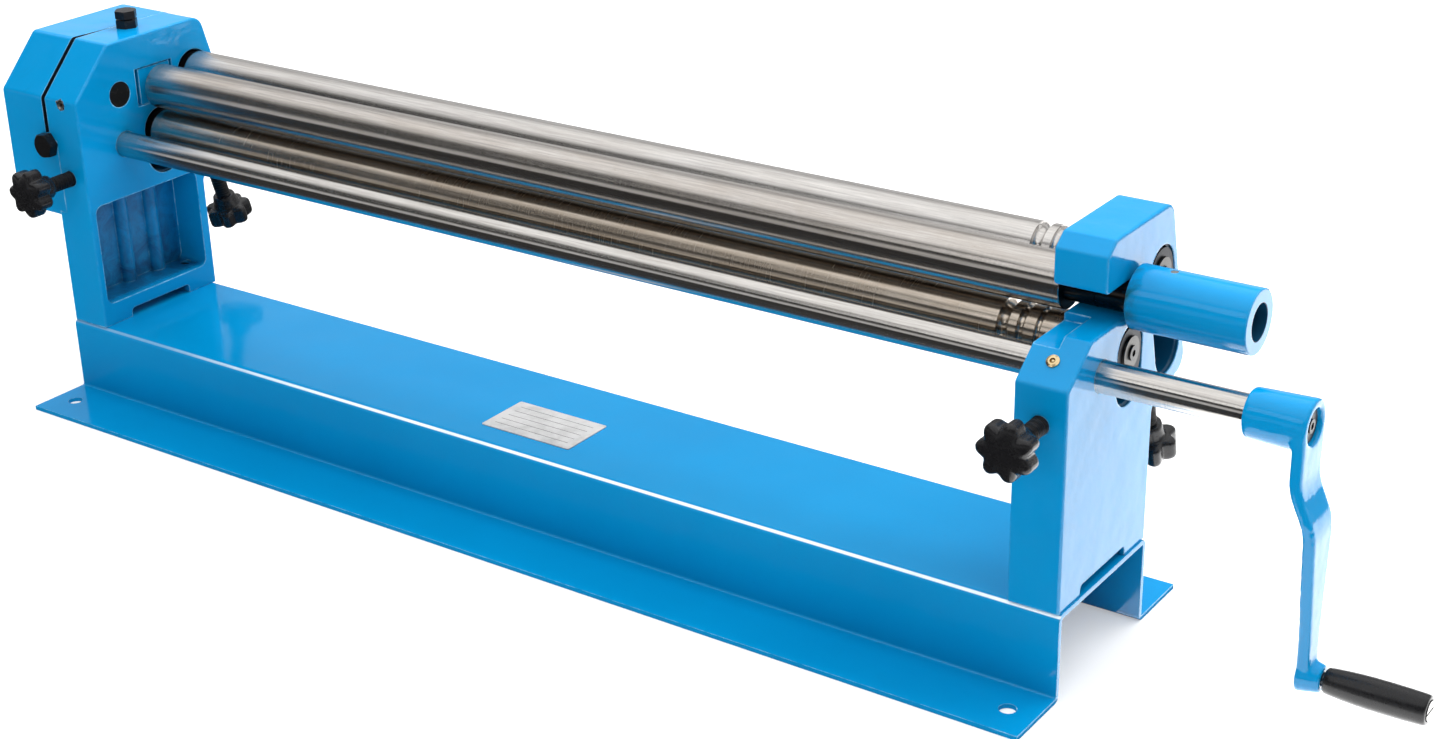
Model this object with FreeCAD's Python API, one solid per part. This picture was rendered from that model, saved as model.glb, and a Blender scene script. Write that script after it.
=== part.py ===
import FreeCAD, Part
import math
import os

# Bench slip roll machine, in millimetres. X runs along the rolls to the crank,
# Y to the rear and Z up. The origin is the middle of the four bench bolt holes,
# on the underside of the base flanges.

V = FreeCAD.Vector
SEAT = 0.02

# Base: one sheet bent to a hat section.
BASE_LENGTH = 1090.0
BASE_HEIGHT = 75.0
BASE_TOP_WIDTH = 148.0
BASE_FLANGE_WIDTH = 272.0
BASE_SHEET = 4.0
BASE_BEND_RADIUS = 6.0
BENCH_HOLE_RADIUS = 7.0
BENCH_HOLE_X = BASE_LENGTH / 2 - 24.0
BENCH_HOLE_Y = BASE_FLANGE_WIDTH / 2 - 30.0
BASE_END = 1.5

# Side castings: they stand near the ends of the base, as deep as its top.
CASTING_THICK = 43.5
OUTER_X = BASE_LENGTH / 2 - BASE_END
INNER_X = OUTER_X - CASTING_THICK
CASTING_FRONT_Y = 1.0 - BASE_TOP_WIDTH / 2
CASTING_REAR_Y = BASE_TOP_WIDTH / 2 + 0.5
CASTING_TOP_Z = 351.0
CASTING_EDGE_RADIUS = 2.0
LIP_CHAMFER_Z = 256.5
LIP_CHAMFER_Y = -38.0
LIP_STEP_Z = 276.5
LIP_STEP_END_Y = 4.0
HOOK_FRONT_Y = -17.0
HOOK_CHAMFER_Z = 341.0
HOOK_CHAMFER_Y = -4.0
LEFT_CHAMFER_Z = 303.5
LEFT_CHAMFER_Y = -27.0
OVERHANG_HALF = 28.3
OVERHANG_END = 104.0
NOTCH_HALF = 38.0
NOTCH_HEIGHT = 9.0
POCKET_Y0 = CASTING_FRONT_Y + 7.0
POCKET_Y1 = CASTING_REAR_Y - 10.5
POCKET_Z0 = 97.0
POCKET_Z1 = 198.0
POCKET_DEPTH = 36.0
POCKET_RIB_RADIUS = 8.0
POCKET_RIBS_Y = (-8.0, 30.0)

# Rolls and their axes.
ROLL_RADIUS = 21.5
ROLL_END_GAP = 7.0
ROLL_END_X = INNER_X - ROLL_END_GAP
UPPER_Y = 28.0
UPPER_Z = 297.5
ROLL_GAP = 3.0
LOWER_Y = UPPER_Y
LOWER_Z = UPPER_Z - 2 * ROLL_RADIUS - ROLL_GAP
REAR_Y = UPPER_Y + 50.0
REAR_Z = UPPER_Z + 0.5
REAR_TILT = 15.0
TILT = math.radians(REAR_TILT)
JOURNAL_RADIUS = 9.0
THROAT_HALF = 14.0
THROAT_PLAY = 0.06
UPPER_JOURNAL_END = OUTER_X + 55.5
JOURNAL_RING_X = INNER_X + 19.0
ROLL_LINE_X = ROLL_END_X - 5.5
WIRE_GROOVES = ((ROLL_END_X - 47.0, 5.0), (ROLL_END_X - 32.0, 3.2), (ROLL_END_X - 17.5, 2.5))

# Drive.
SHAFT_RADIUS = 12.5
GEAR_MODULE = 2.5
PINION_TEETH = 20
ROLL_GEAR_TEETH = 17
GEAR_BACKLASH = 0.16
GEAR_SPREAD = 0.25
SHAFT_Y = UPPER_Y - GEAR_MODULE * (PINION_TEETH + ROLL_GEAR_TEETH) / 2 - GEAR_SPREAD
SHAFT_Z = LOWER_Z - 2.0
IDLER_Z = SHAFT_Z + GEAR_MODULE * PINION_TEETH
IDLER_PIN_RADIUS = 12.5
GEAR_WIDTH = 12.0
GEAR_ROW_GAP = 2.0
GEAR_INNER_X = -OUTER_X - 4.0
GEAR_INNER_END = GEAR_INNER_X - GEAR_WIDTH
GEAR_OUTER_X = GEAR_INNER_END - GEAR_ROW_GAP
GEAR_OUTER_END = GEAR_OUTER_X - GEAR_WIDTH
SHAFT_STUB = 3.5
SHAFT_LEFT_END = GEAR_OUTER_END - SHAFT_STUB
LOWER_LEFT_END = GEAR_INNER_END - SHAFT_STUB
CLIP_X = GEAR_OUTER_END - 1.0
CLIP_HALF = 0.6
END_SCREW_DEPTH = 20.0
SHAFT_PLAY = 0.05

# Crank.
HUB_LEFT_X = OUTER_X + 114.5
HUB_LENGTH = 48.5
HUB_RIGHT_X = HUB_LEFT_X + HUB_LENGTH
HUB_LEFT_RADIUS = 18.7
HUB_RIGHT_RADIUS = 20.5
HUB_RECESS_RADIUS = 13.4
SHAFT_RIGHT_END = HUB_RIGHT_X - 6.7
ARM_THICK = 9.5
ARM_JOG = 13.0
ARM_JOG_TOP = 35.5
ARM_JOG_LOW = 83.5
ARM_TAPER_TOP = 69.5
ARM_TAPER_LOW = 31.0
ARM_TOP_HALF = 20.0
ARM_END_HALF = 11.0
CRANK_RADIUS = 195.5
GRIP_START_X = HUB_RIGHT_X + 24.5
GRIP_LENGTH = 76.0
GRIP_END_X = GRIP_START_X + GRIP_LENGTH
GRIP_PIN_RADIUS = 5.0
GRIP_HEAD_RADIUS = 7.6

# Lift handle: the tube on the upper roll's right journal.
HANDLE_LEFT_X = OUTER_X + 4.0
HANDLE_LENGTH = 94.5
HANDLE_RIGHT_X = HANDLE_LEFT_X + HANDLE_LENGTH
HANDLE_RADIUS = 25.0
HANDLE_BORE = 14.5
HANDLE_SEAT = THROAT_HALF - THROAT_PLAY + SEAT
HANDLE_STEP = 1.0
HANDLE_PIN_X = HANDLE_LEFT_X + 27.5
HANDLE_PIN_RADIUS = 3.0

# Bearing blocks and the slots that guide them.
SLOT_HALF = 20.0
SLOT_FACE_HALF = 21.5
SLOT_FACE_DEPTH = 3.0
BLOCK_PLAY = 0.05
BLOCK_END_GAP = 0.5
BUSH_RADIUS = 12.0
BUSH_PLAY = 0.04
LOWER_SLOT_TOP_Z = LOWER_Z + 2.0
LOWER_SLOT_LOW_Z = LOWER_Z - 22.0
LOWER_BLOCK_LOW_Z = LOWER_Z - 7.5
REAR_SLOT_TOP = -1.5
REAR_SLOT_LOW = 70.0
REAR_BLOCK_LOW = 6.0

# Adjusting screws and star knobs.
SCREW_X = INNER_X + CASTING_THICK / 2
SCREW_RADIUS = 7.5
SCREW_PLAY = 0.1
SCREW_TIP_RADIUS = 0.4
FRONT_SCREW_Z = LOWER_Z - 25.5
FRONT_TIP_Y = LOWER_Y - 2.0
FRONT_KNOB_FACE = CASTING_FRONT_Y - 59.0
REAR_KNOB_FACE = OVERHANG_END + 78.0
KNOB_RADIUS = 23.5
KNOB_VALLEY = 19.5
KNOB_LOBES = 7
KNOB_THICK = 20.0
KNOB_NECK_RADIUS = 11.0
KNOB_NECK_LENGTH = 12.0

# Swivel block at the left end of the upper roll.
PIVOT_X = -INNER_X - 32.0
PIVOT_RADIUS = 6.0
PIVOT_DEPTH = 10.0
PIVOT_HEAD_Z = CASTING_TOP_Z + 9.4
WINDOW_Y0 = UPPER_Y - 25.0
WINDOW_Y1 = UPPER_Y + 22.0
WINDOW_Z0 = UPPER_Z - 16.0
WINDOW_Z1 = UPPER_Z + 21.0
SWIVEL_HALF = 20.0
SWIVEL_PLAY = 0.05

# Gear cover.
COVER_OUTER_X = -OUTER_X - 62.5
COVER_WALL = 5.0
COVER_LOW_Z = 183.0
COVER_GAP = 5.0
COVER_POSTS = ((CASTING_FRONT_Y + 15.0, COVER_LOW_Z + 27.0), (CASTING_REAR_Y - 12.5, CASTING_TOP_Z - 16.0))
COVER_SCREW_RADIUS = 3.0
LUG_X = -OUTER_X + 9.0
LUG_DEPTH = 7.0
LUG_Z0 = COVER_LOW_Z + 6.0
LUG_Z1 = 262.0
COVER_BOLT_X = -OUTER_X - 2.5
COVER_BOLT_Z = LUG_Z1 - 5.0
COVER_BOLT_RADIUS = 5.0
BOSS_REACH = 12.5
BOSS_DEPTH = 25.0
BOSS_HALF = 11.0
BOSS_GAP = 0.1

# Frame bolts and small pieces.
FRAME_BOLT_X = INNER_X + 22.0
FRAME_BOLT_Y = BASE_TOP_WIDTH / 2 - 18.0
FRAME_BOLT_RADIUS = 5.0
FRAME_WASHER_RADIUS = 10.0
FRAME_WASHER_THICK = 2.0
OIL_PLUG_Z = LEFT_CHAMFER_Z - 3.7
OIL_HOLE_RADIUS = 4.0
PLATE_X0 = -40.0
PLATE_X1 = 58.0
PLATE_Y0 = -46.0
PLATE_Y1 = 9.5
PLATE_THICK = 0.8


def rear_point(s, n=0.0):
    """Point s mm down the rear screw line and n mm to its rear side, as y, z."""
    y = REAR_Y + math.sin(TILT) * s + math.cos(TILT) * n
    z = REAR_Z - math.cos(TILT) * s + math.sin(TILT) * n
    return y, z


def outline(points, x):
    """Closed wire in the plane of the given x from (y, z, corner radius) points."""
    count = len(points)
    edges = []
    starts = []
    ends = []
    arcs = []
    for i in range(count):
        p0 = V(0, points[i - 1][0], points[i - 1][1])
        p1 = V(0, points[i][0], points[i][1])
        p2 = V(0, points[(i + 1) % count][0], points[(i + 1) % count][1])
        r = points[i][2]
        if r <= 0:
            starts.append(p1)
            ends.append(p1)
            arcs.append(None)
            continue
        a = (p0 - p1).normalize()
        b = (p2 - p1).normalize()
        half = a.getAngle(b) / 2
        t = r / math.tan(half)
        start = p1 + a * t
        end = p1 + b * t
        mid_dir = (a + b).normalize()
        centre = p1 + mid_dir * (r / math.sin(half))
        mid = centre - mid_dir * r
        starts.append(start)
        ends.append(end)
        arcs.append(mid)
    for i in range(count):
        shift = V(x, 0, 0)
        if arcs[i] is not None:
            edges.append(Part.Arc(starts[i] + shift, arcs[i] + shift, ends[i] + shift).toShape())
        nxt = starts[(i + 1) % count]
        if (nxt - ends[i]).Length > 1e-6:
            edges.append(Part.makeLine(ends[i] + shift, nxt + shift))
    return Part.Wire(edges)


def slab(points, x0, x1):
    """Solid between two x planes with the given outline."""
    return Part.Face(outline(points, x0)).extrude(V(x1 - x0, 0, 0))


def rod(x0, x1, y, z, r):
    """Round bar along X."""
    return Part.makeCylinder(r, x1 - x0, V(x0, y, z), V(1, 0, 0))


def cone_x(x0, x1, y, z, r0, r1):
    """Tapered round bar along X."""
    return Part.makeCone(r0, r1, x1 - x0, V(x0, y, z), V(1, 0, 0))


def box(x0, x1, y0, y1, z0, z1):
    """Block between the given limits."""
    return Part.makeBox(x1 - x0, y1 - y0, z1 - z0, V(x0, y0, z0))


def hexagon(flats, height, base, direction, turn=0.0):
    """Hexagonal prism standing on base along direction."""
    across = flats / math.sqrt(3)
    pts = []
    for i in range(7):
        a = math.radians(60 * i + turn)
        pts.append(V(across * math.cos(a), across * math.sin(a), 0))
    solid = Part.Face(Part.makePolygon(pts)).extrude(V(0, 0, height))
    spin = FreeCAD.Rotation(V(0, 0, 1), direction)
    solid.Placement = FreeCAD.Placement(base, spin)
    return solid


def slot_shape(x0, x1, y, z_low, z_high, half):
    """Upright slot with round ends, as a solid to cut or keep."""
    body = rod(x0, x1, y, z_high, half)
    if z_high - z_low > 0.01:
        body = body.fuse(rod(x0, x1, y, z_low, half))
        body = body.fuse(box(x0, x1, y - half, y + half, z_low, z_high))
        body = body.removeSplitter()
    return body


def rear_slot_shape(x0, x1, s_low, s_high, half):
    """The same slot along the tilted rear line, s measured downwards."""
    upright = slot_shape(x0, x1, REAR_Y, REAR_Z - s_high, REAR_Z - s_low, half)
    upright.rotate(V(0, REAR_Y, REAR_Z), V(1, 0, 0), REAR_TILT)
    return upright


def gear_blank(teeth, centre_y, centre_z, phase, x0, x1):
    """Spur gear with involute flanks, one tooth centred on the phase angle."""
    pitch_r = GEAR_MODULE * teeth / 2
    base_r = pitch_r * math.cos(math.radians(20))
    tip_r = pitch_r + GEAR_MODULE
    root_r = pitch_r - 1.25 * GEAR_MODULE
    inv0 = math.tan(math.radians(20)) - math.radians(20)
    half0 = math.pi / (2 * teeth) - GEAR_BACKLASH / (2 * pitch_r) + inv0
    flank = []
    steps = 5
    start_r = max(base_r, root_r)
    for k in range(steps + 1):
        rho = start_r + (tip_r - start_r) * k / steps
        a = math.acos(min(1.0, base_r / rho))
        flank.append((rho, half0 - (math.tan(a) - a)))
    pts = []
    for i in range(teeth):
        mid = phase + 2 * math.pi * i / teeth
        pts.append((root_r, mid - flank[0][1]))
        for rho, h in flank:
            pts.append((rho, mid - h))
        for rho, h in reversed(flank):
            pts.append((rho, mid + h))
        pts.append((root_r, mid + flank[0][1]))
    ring = []
    for rho, a in pts:
        p = V(x0, centre_y + rho * math.cos(a), centre_z + rho * math.sin(a))
        if not ring or (p - ring[-1]).Length > 1e-4:
            ring.append(p)
    ring.append(ring[0])
    return Part.Face(Part.makePolygon(ring)).extrude(V(x1 - x0, 0, 0))


def mesh_phase(y0, z0, teeth0, phase0, y1, z1, teeth1):
    """Phase of the second gear that puts it in mesh with the first."""
    beta = math.atan2(z1 - z0, y1 - y0)
    frac = (beta - phase0) * teeth0 / (2 * math.pi)
    return beta + math.pi - (0.5 - frac) * 2 * math.pi / teeth1


def rear_outline_points():
    """Rear edge of both castings, from the top corner to the foot."""
    top_s = (REAR_Z - CASTING_TOP_Z + math.sin(TILT) * OVERHANG_HALF) / math.cos(TILT)
    top_y = rear_point(top_s, OVERHANG_HALF)[0]
    corner = rear_point(OVERHANG_END, OVERHANG_HALF)
    back = (CASTING_REAR_Y - rear_point(OVERHANG_END)[0]) / math.cos(TILT)
    neck_z = rear_point(OVERHANG_END, back)[1]
    return [(top_y, CASTING_TOP_Z, 14.0), (corner[0], corner[1], 14.0),
            (CASTING_REAR_Y, neck_z, 8.0), (CASTING_REAR_Y, BASE_HEIGHT, 0.0)]


def rounded_edges(solid, x, r):
    """Round the outline edges that lie in the plane of the given x."""
    chosen = []
    for e in solid.Edges:
        bb = e.BoundBox
        if abs(bb.XMin - x) < 1e-4 and abs(bb.XMax - x) < 1e-4 and bb.ZMax > BASE_HEIGHT + 0.01:
            chosen.append(e)
    return solid.makeFillet(r, chosen)


def casting_cuts(side):
    """Hollows that both castings share. side is 1 for right and -1 for left."""
    def span(a, b):
        lo, hi = sorted((side * a, side * b))
        return lo, hi
    cuts = []
    x0, x1 = span(INNER_X - 1, OUTER_X + 1)
    notch = slab([(-NOTCH_HALF, BASE_HEIGHT - 1, 0.0), (-NOTCH_HALF, BASE_HEIGHT + NOTCH_HEIGHT, 4.0),
                  (NOTCH_HALF, BASE_HEIGHT + NOTCH_HEIGHT, 4.0), (NOTCH_HALF, BASE_HEIGHT - 1, 0.0)], x0, x1)
    cuts.append(notch)
    cuts.append(slot_shape(x0, x1, LOWER_Y, LOWER_SLOT_LOW_Z, LOWER_SLOT_TOP_Z, SLOT_HALF))
    cuts.append(rear_slot_shape(x0, x1, REAR_SLOT_TOP, REAR_SLOT_LOW, SLOT_HALF))
    for a, b in ((INNER_X - 1, INNER_X + SLOT_FACE_DEPTH), (OUTER_X - SLOT_FACE_DEPTH, OUTER_X + 1)):
        f0, f1 = span(a, b)
        cuts.append(slot_shape(f0, f1, LOWER_Y, LOWER_SLOT_LOW_Z, LOWER_SLOT_TOP_Z, SLOT_FACE_HALF))
        cuts.append(rear_slot_shape(f0, f1, REAR_SLOT_TOP, REAR_SLOT_LOW, SLOT_FACE_HALF))
    p0, p1 = span(INNER_X - 1, INNER_X + POCKET_DEPTH)
    pocket = slab([(POCKET_Y0, POCKET_Z0, 8.0), (POCKET_Y0, POCKET_Z1, 8.0),
                   (POCKET_Y1, POCKET_Z1, 8.0), (POCKET_Y1, POCKET_Z0, 8.0)], p0, p1)
    for y in POCKET_RIBS_Y:
        rib = Part.makeCylinder(POCKET_RIB_RADIUS, POCKET_Z1 - POCKET_Z0 + 2,
                                V(side * (INNER_X + POCKET_DEPTH), y, POCKET_Z0 - 1))
        pocket = pocket.cut(rib)
    cuts.append(pocket)
    cuts.append(Part.makeCylinder(SCREW_RADIUS + SCREW_PLAY, LOWER_Y - CASTING_FRONT_Y + 1,
                                  V(side * SCREW_X, CASTING_FRONT_Y - 1, FRONT_SCREW_Z), V(0, 1, 0)))
    start = rear_point(REAR_SLOT_LOW)
    down = V(0, math.sin(TILT), -math.cos(TILT))
    cuts.append(Part.makeCylinder(SCREW_RADIUS + SCREW_PLAY, OVERHANG_END - REAR_SLOT_LOW + 20,
                                  V(side * SCREW_X, start[0], start[1]), down))
    cuts.append(rod(x0, x1, SHAFT_Y, SHAFT_Z, SHAFT_RADIUS + SHAFT_PLAY))
    for y in (-FRAME_BOLT_Y, FRAME_BOLT_Y):
        cuts.append(Part.makeCylinder(FRAME_BOLT_RADIUS + SEAT, POCKET_Z0 - BASE_HEIGHT + 2,
                                      V(side * FRAME_BOLT_X, y, BASE_HEIGHT - 1)))
    return cuts


def make_base_channel():
    """Bent sheet base with four bench bolt holes and four frame bolt holes."""
    half = BASE_TOP_WIDTH / 2
    wide = BASE_FLANGE_WIDTH / 2
    t = BASE_SHEET
    inner = BASE_BEND_RADIUS - t
    pts = [(-wide, 0, 0), (-wide, t, 0), (-half, t, 2.0), (-half, BASE_HEIGHT, BASE_BEND_RADIUS),
           (half, BASE_HEIGHT, BASE_BEND_RADIUS), (half, t, 2.0), (wide, t, 0), (wide, 0, 0),
           (half - t, 0, 6.0), (half - t, BASE_HEIGHT - t, inner), (-half + t, BASE_HEIGHT - t, inner),
           (-half + t, 0, 6.0)]
    body = slab(pts, -BASE_LENGTH / 2, BASE_LENGTH / 2)
    for sx in (-1, 1):
        for sy in (-1, 1):
            body = body.cut(Part.makeCylinder(BENCH_HOLE_RADIUS, t + 2,
                                              V(sx * BENCH_HOLE_X, sy * BENCH_HOLE_Y, -1)))
            body = body.cut(Part.makeCylinder(FRAME_BOLT_RADIUS + 0.5, t + 2,
                                              V(sx * FRAME_BOLT_X, sy * FRAME_BOLT_Y, BASE_HEIGHT - t - 1)))
    return body


def make_right_frame():
    """Right casting, open to the front like a hook over the upper journal."""
    front = [(CASTING_FRONT_Y, BASE_HEIGHT, 0.0), (CASTING_FRONT_Y, LIP_CHAMFER_Z, 4.0),
             (LIP_CHAMFER_Y, UPPER_Z - THROAT_HALF, 4.0),
             (UPPER_Y + THROAT_HALF - 0.01, UPPER_Z - THROAT_HALF, THROAT_HALF - 0.02),
             (UPPER_Y + THROAT_HALF - 0.01, UPPER_Z + THROAT_HALF, THROAT_HALF - 0.02),
             (HOOK_FRONT_Y, UPPER_Z + THROAT_HALF, 5.0),
             (HOOK_FRONT_Y, HOOK_CHAMFER_Z, 3.0), (HOOK_CHAMFER_Y, CASTING_TOP_Z, 4.0)]
    body = slab(front + rear_outline_points(), INNER_X, OUTER_X)
    body = rounded_edges(body, OUTER_X, CASTING_EDGE_RADIUS)
    body = rounded_edges(body, INNER_X, CASTING_EDGE_RADIUS)
    for cut in casting_cuts(1):
        body = body.cut(cut)
    step = box(INNER_X - 1, SCREW_X, CASTING_FRONT_Y, LIP_STEP_END_Y, LIP_STEP_Z, UPPER_Z)
    body = body.cut(step)
    oil_y, oil_z, normal = oiler_place()
    body = body.cut(Part.makeCylinder(OIL_HOLE_RADIUS + SEAT, 12, V(SCREW_X, oil_y, oil_z) - normal * 11, normal))
    return body


def oiler_place():
    """Middle of the right casting's front chamfer and its outward normal."""
    y = (CASTING_FRONT_Y + LIP_CHAMFER_Y) / 2
    z = (LIP_CHAMFER_Z + UPPER_Z - THROAT_HALF) / 2
    run = V(0, LIP_CHAMFER_Y - CASTING_FRONT_Y, UPPER_Z - THROAT_HALF - LIP_CHAMFER_Z).normalize()
    return y, z, V(0, -run.z, run.y)


def make_left_frame():
    """Left casting with the window for the swivel block."""
    front = [(CASTING_FRONT_Y, BASE_HEIGHT, 0.0), (CASTING_FRONT_Y, LEFT_CHAMFER_Z, 4.0),
             (LEFT_CHAMFER_Y, CASTING_TOP_Z, 4.0)]
    body = slab(front + rear_outline_points(), -OUTER_X, -INNER_X)
    body = rounded_edges(body, -INNER_X, CASTING_EDGE_RADIUS)
    boss = box(-OUTER_X - BOSS_REACH, -OUTER_X, CASTING_FRONT_Y + LUG_DEPTH, CASTING_FRONT_Y + BOSS_DEPTH,
               COVER_BOLT_Z - BOSS_HALF, COVER_BOLT_Z + BOSS_HALF)
    body = body.fuse(boss)
    for cut in casting_cuts(-1):
        body = body.cut(cut)
    body = body.cut(box(-OUTER_X - 1, -INNER_X + 1, WINDOW_Y0, WINDOW_Y1, WINDOW_Z0, WINDOW_Z1))
    body = body.cut(rod(-OUTER_X - 1, -INNER_X + 1, SHAFT_Y, IDLER_Z, IDLER_PIN_RADIUS + SEAT))
    body = body.cut(Part.makeCylinder(PIVOT_RADIUS + SEAT, 60, V(PIVOT_X, UPPER_Y, WINDOW_Z1 - 5)))
    body = body.cut(box(-OUTER_X - 1, LUG_X, CASTING_FRONT_Y - 1, CASTING_FRONT_Y + LUG_DEPTH, LUG_Z0, LUG_Z1))
    body = body.cut(Part.makeCylinder(COVER_BOLT_RADIUS + SEAT, 20,
                                      V(COVER_BOLT_X, CASTING_FRONT_Y, COVER_BOLT_Z), V(0, 1, 0)))
    body = body.cut(Part.makeCylinder(OIL_HOLE_RADIUS + SEAT, 14,
                                      V(-SCREW_X, CASTING_FRONT_Y - 1, OIL_PLUG_Z), V(0, 1, 0)))
    for y, z in COVER_POSTS:
        body = body.cut(rod(-OUTER_X - 1, -OUTER_X + 16, y, z, COVER_SCREW_RADIUS + SEAT))
    return body


def cover_outline(shrink):
    """Outline of the gear cover, drawn in by shrink."""
    k = shrink
    rear = rear_outline_points()
    pts = [(CASTING_FRONT_Y + k, COVER_LOW_Z + k, 6.0),
           (CASTING_FRONT_Y + k, LEFT_CHAMFER_Z - 0.4 * k, 6.0),
           (LEFT_CHAMFER_Y + 0.4 * k, CASTING_TOP_Z - k, 6.0),
           (rear[0][0] - 0.8 * k, CASTING_TOP_Z - k, 12.0),
           (rear[1][0] - 1.25 * k, rear[1][1] + 0.8 * k, 12.0),
           (CASTING_REAR_Y - k, rear[2][1] + 0.6 * k, 1.0),
           (CASTING_REAR_Y - k, COVER_LOW_Z + k, 0.0)]
    return pts


def make_gear_cover():
    """Cast cover over the gear train, open towards the left casting."""
    body = slab(cover_outline(0.0), COVER_OUTER_X, -OUTER_X)
    body = rounded_edges_cover(body)
    body = body.cut(slab(cover_outline(COVER_WALL), COVER_OUTER_X + COVER_WALL, -OUTER_X + 1))
    lug = box(-OUTER_X - 14, LUG_X - 0.05, CASTING_FRONT_Y, CASTING_FRONT_Y + LUG_DEPTH - 0.05,
              LUG_Z0 + 0.05, LUG_Z1 - 0.05)
    body = body.fuse(lug)
    body = body.cut(box(-OUTER_X - BOSS_REACH - 0.05, -OUTER_X + 1,
                        CASTING_FRONT_Y + LUG_DEPTH - SEAT, CASTING_FRONT_Y + BOSS_DEPTH + BOSS_GAP,
                        COVER_BOLT_Z - BOSS_HALF - BOSS_GAP, COVER_BOLT_Z + BOSS_HALF + BOSS_GAP))
    for y, z in COVER_POSTS:
        body = body.fuse(rod(COVER_OUTER_X + 1, -OUTER_X, y, z, 7.0))
    gap = slab([(CASTING_FRONT_Y - 5, LUG_Z1 + 6, 0.0), (CASTING_FRONT_Y + 12, LUG_Z1 + 6, 0.0),
                (CASTING_FRONT_Y + 12, LEFT_CHAMFER_Z - 8, 0.0), (LEFT_CHAMFER_Y + 2, CASTING_TOP_Z - 12, 0.0),
                (LEFT_CHAMFER_Y + 2, CASTING_TOP_Z + 5, 0.0), (CASTING_FRONT_Y - 5, CASTING_TOP_Z + 5, 0.0)],
               -OUTER_X - COVER_GAP, -OUTER_X + 1)
    body = body.cut(gap)
    taper = [V(-OUTER_X - COVER_GAP, LEFT_CHAMFER_Y + 1.9, 0), V(-OUTER_X + 1, LEFT_CHAMFER_Y + 1.9, 0),
             V(-OUTER_X + 1, 18.0, 0), V(-OUTER_X, 18.0, 0), V(-OUTER_X - COVER_GAP, LEFT_CHAMFER_Y + 1.9, 0)]
    wedge = Part.Face(Part.makePolygon(taper)).extrude(V(0, 0, 20))
    wedge.translate(V(0, 0, CASTING_TOP_Z - 12))
    body = body.cut(wedge)
    for y, z in COVER_POSTS:
        body = body.cut(rod(COVER_OUTER_X - 1, -OUTER_X + 1, y, z, COVER_SCREW_RADIUS + SEAT))
        body = body.cut(rod(COVER_OUTER_X - 1, COVER_OUTER_X + 3.2, y, z, 5.6))
    body = body.cut(Part.makeCylinder(COVER_BOLT_RADIUS + SEAT, 20,
                                      V(COVER_BOLT_X, CASTING_FRONT_Y - 1, COVER_BOLT_Z), V(0, 1, 0)))
    return body.removeSplitter()


def rounded_edges_cover(solid):
    """Round the cover's outer rim."""
    chosen = []
    for e in solid.Edges:
        bb = e.BoundBox
        if abs(bb.XMin - COVER_OUTER_X) < 1e-4 and abs(bb.XMax - COVER_OUTER_X) < 1e-4:
            if bb.ZMax > LUG_Z1:
                chosen.append(e)
    return solid.makeFillet(3.0, chosen)


def make_roll(y, z, left_end, right_end, journal_left, journal_right, grooves):
    """Ground steel roll with its journals and, if asked, the wire grooves."""
    body = rod(-ROLL_END_X, ROLL_END_X, y, z, ROLL_RADIUS)
    edges = []
    for e in body.Edges:
        if e.Curve.TypeId == "Part::GeomCircle":
            edges.append(e)
    body = body.makeChamfer(0.8, edges)
    if grooves:
        for x, r in WIRE_GROOVES:
            ring = Part.makeTorus(ROLL_RADIUS, r, V(x, y, z), V(1, 0, 0))
            body = body.cut(ring)
    body = body.fuse(rod(left_end, -ROLL_END_X + 1, y, z, journal_left))
    body = body.fuse(rod(ROLL_END_X - 1, right_end, y, z, journal_right))
    return body


def tapped(body, x0, x1, y, z, r):
    """Blind hole along X between two x values."""
    return body.cut(rod(x0, x1, y, z, r))


def key_slot(x0, x1, y, z, r, width, depth):
    """Block that cuts or fills a keyway on top of a shaft of radius r."""
    return box(x0, x1, y - width / 2, y + width / 2, z + r - depth, z + r + 2.0)


def make_upper_roll():
    """Upper roll; its right journal lies in the open throat."""
    body = make_roll(UPPER_Y, UPPER_Z, SHAFT_LEFT_END, UPPER_JOURNAL_END, JOURNAL_RADIUS,
                     THROAT_HALF - THROAT_PLAY, False)
    line = rod(ROLL_LINE_X, ROLL_LINE_X + 0.8, UPPER_Y, UPPER_Z, ROLL_RADIUS + 1)
    line = line.cut(rod(ROLL_LINE_X - 1, ROLL_LINE_X + 2, UPPER_Y, UPPER_Z, ROLL_RADIUS - 0.3))
    body = body.cut(line)
    ring = rod(JOURNAL_RING_X - 0.6, JOURNAL_RING_X + 0.6, UPPER_Y, UPPER_Z, THROAT_HALF + 1)
    ring = ring.cut(rod(JOURNAL_RING_X - 1, JOURNAL_RING_X + 1, UPPER_Y, UPPER_Z, THROAT_HALF - 0.6))
    body = body.cut(ring)
    body = body.cut(key_slot(GEAR_OUTER_END - 5, GEAR_OUTER_X, UPPER_Y, UPPER_Z, JOURNAL_RADIUS, 5.0, 2.5))
    body = tapped(body, SHAFT_LEFT_END - 1, SHAFT_LEFT_END + END_SCREW_DEPTH, UPPER_Y, UPPER_Z, 3.0 + SEAT)
    return body.cut(handle_pin_hole())


def handle_pin_hole():
    """Hole for the cross pin, right through the handle and the journal."""
    reach = HANDLE_RADIUS + 5.0
    return Part.makeCylinder(HANDLE_PIN_RADIUS + SEAT, 2 * reach, V(HANDLE_PIN_X, UPPER_Y, UPPER_Z - reach))


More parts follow.
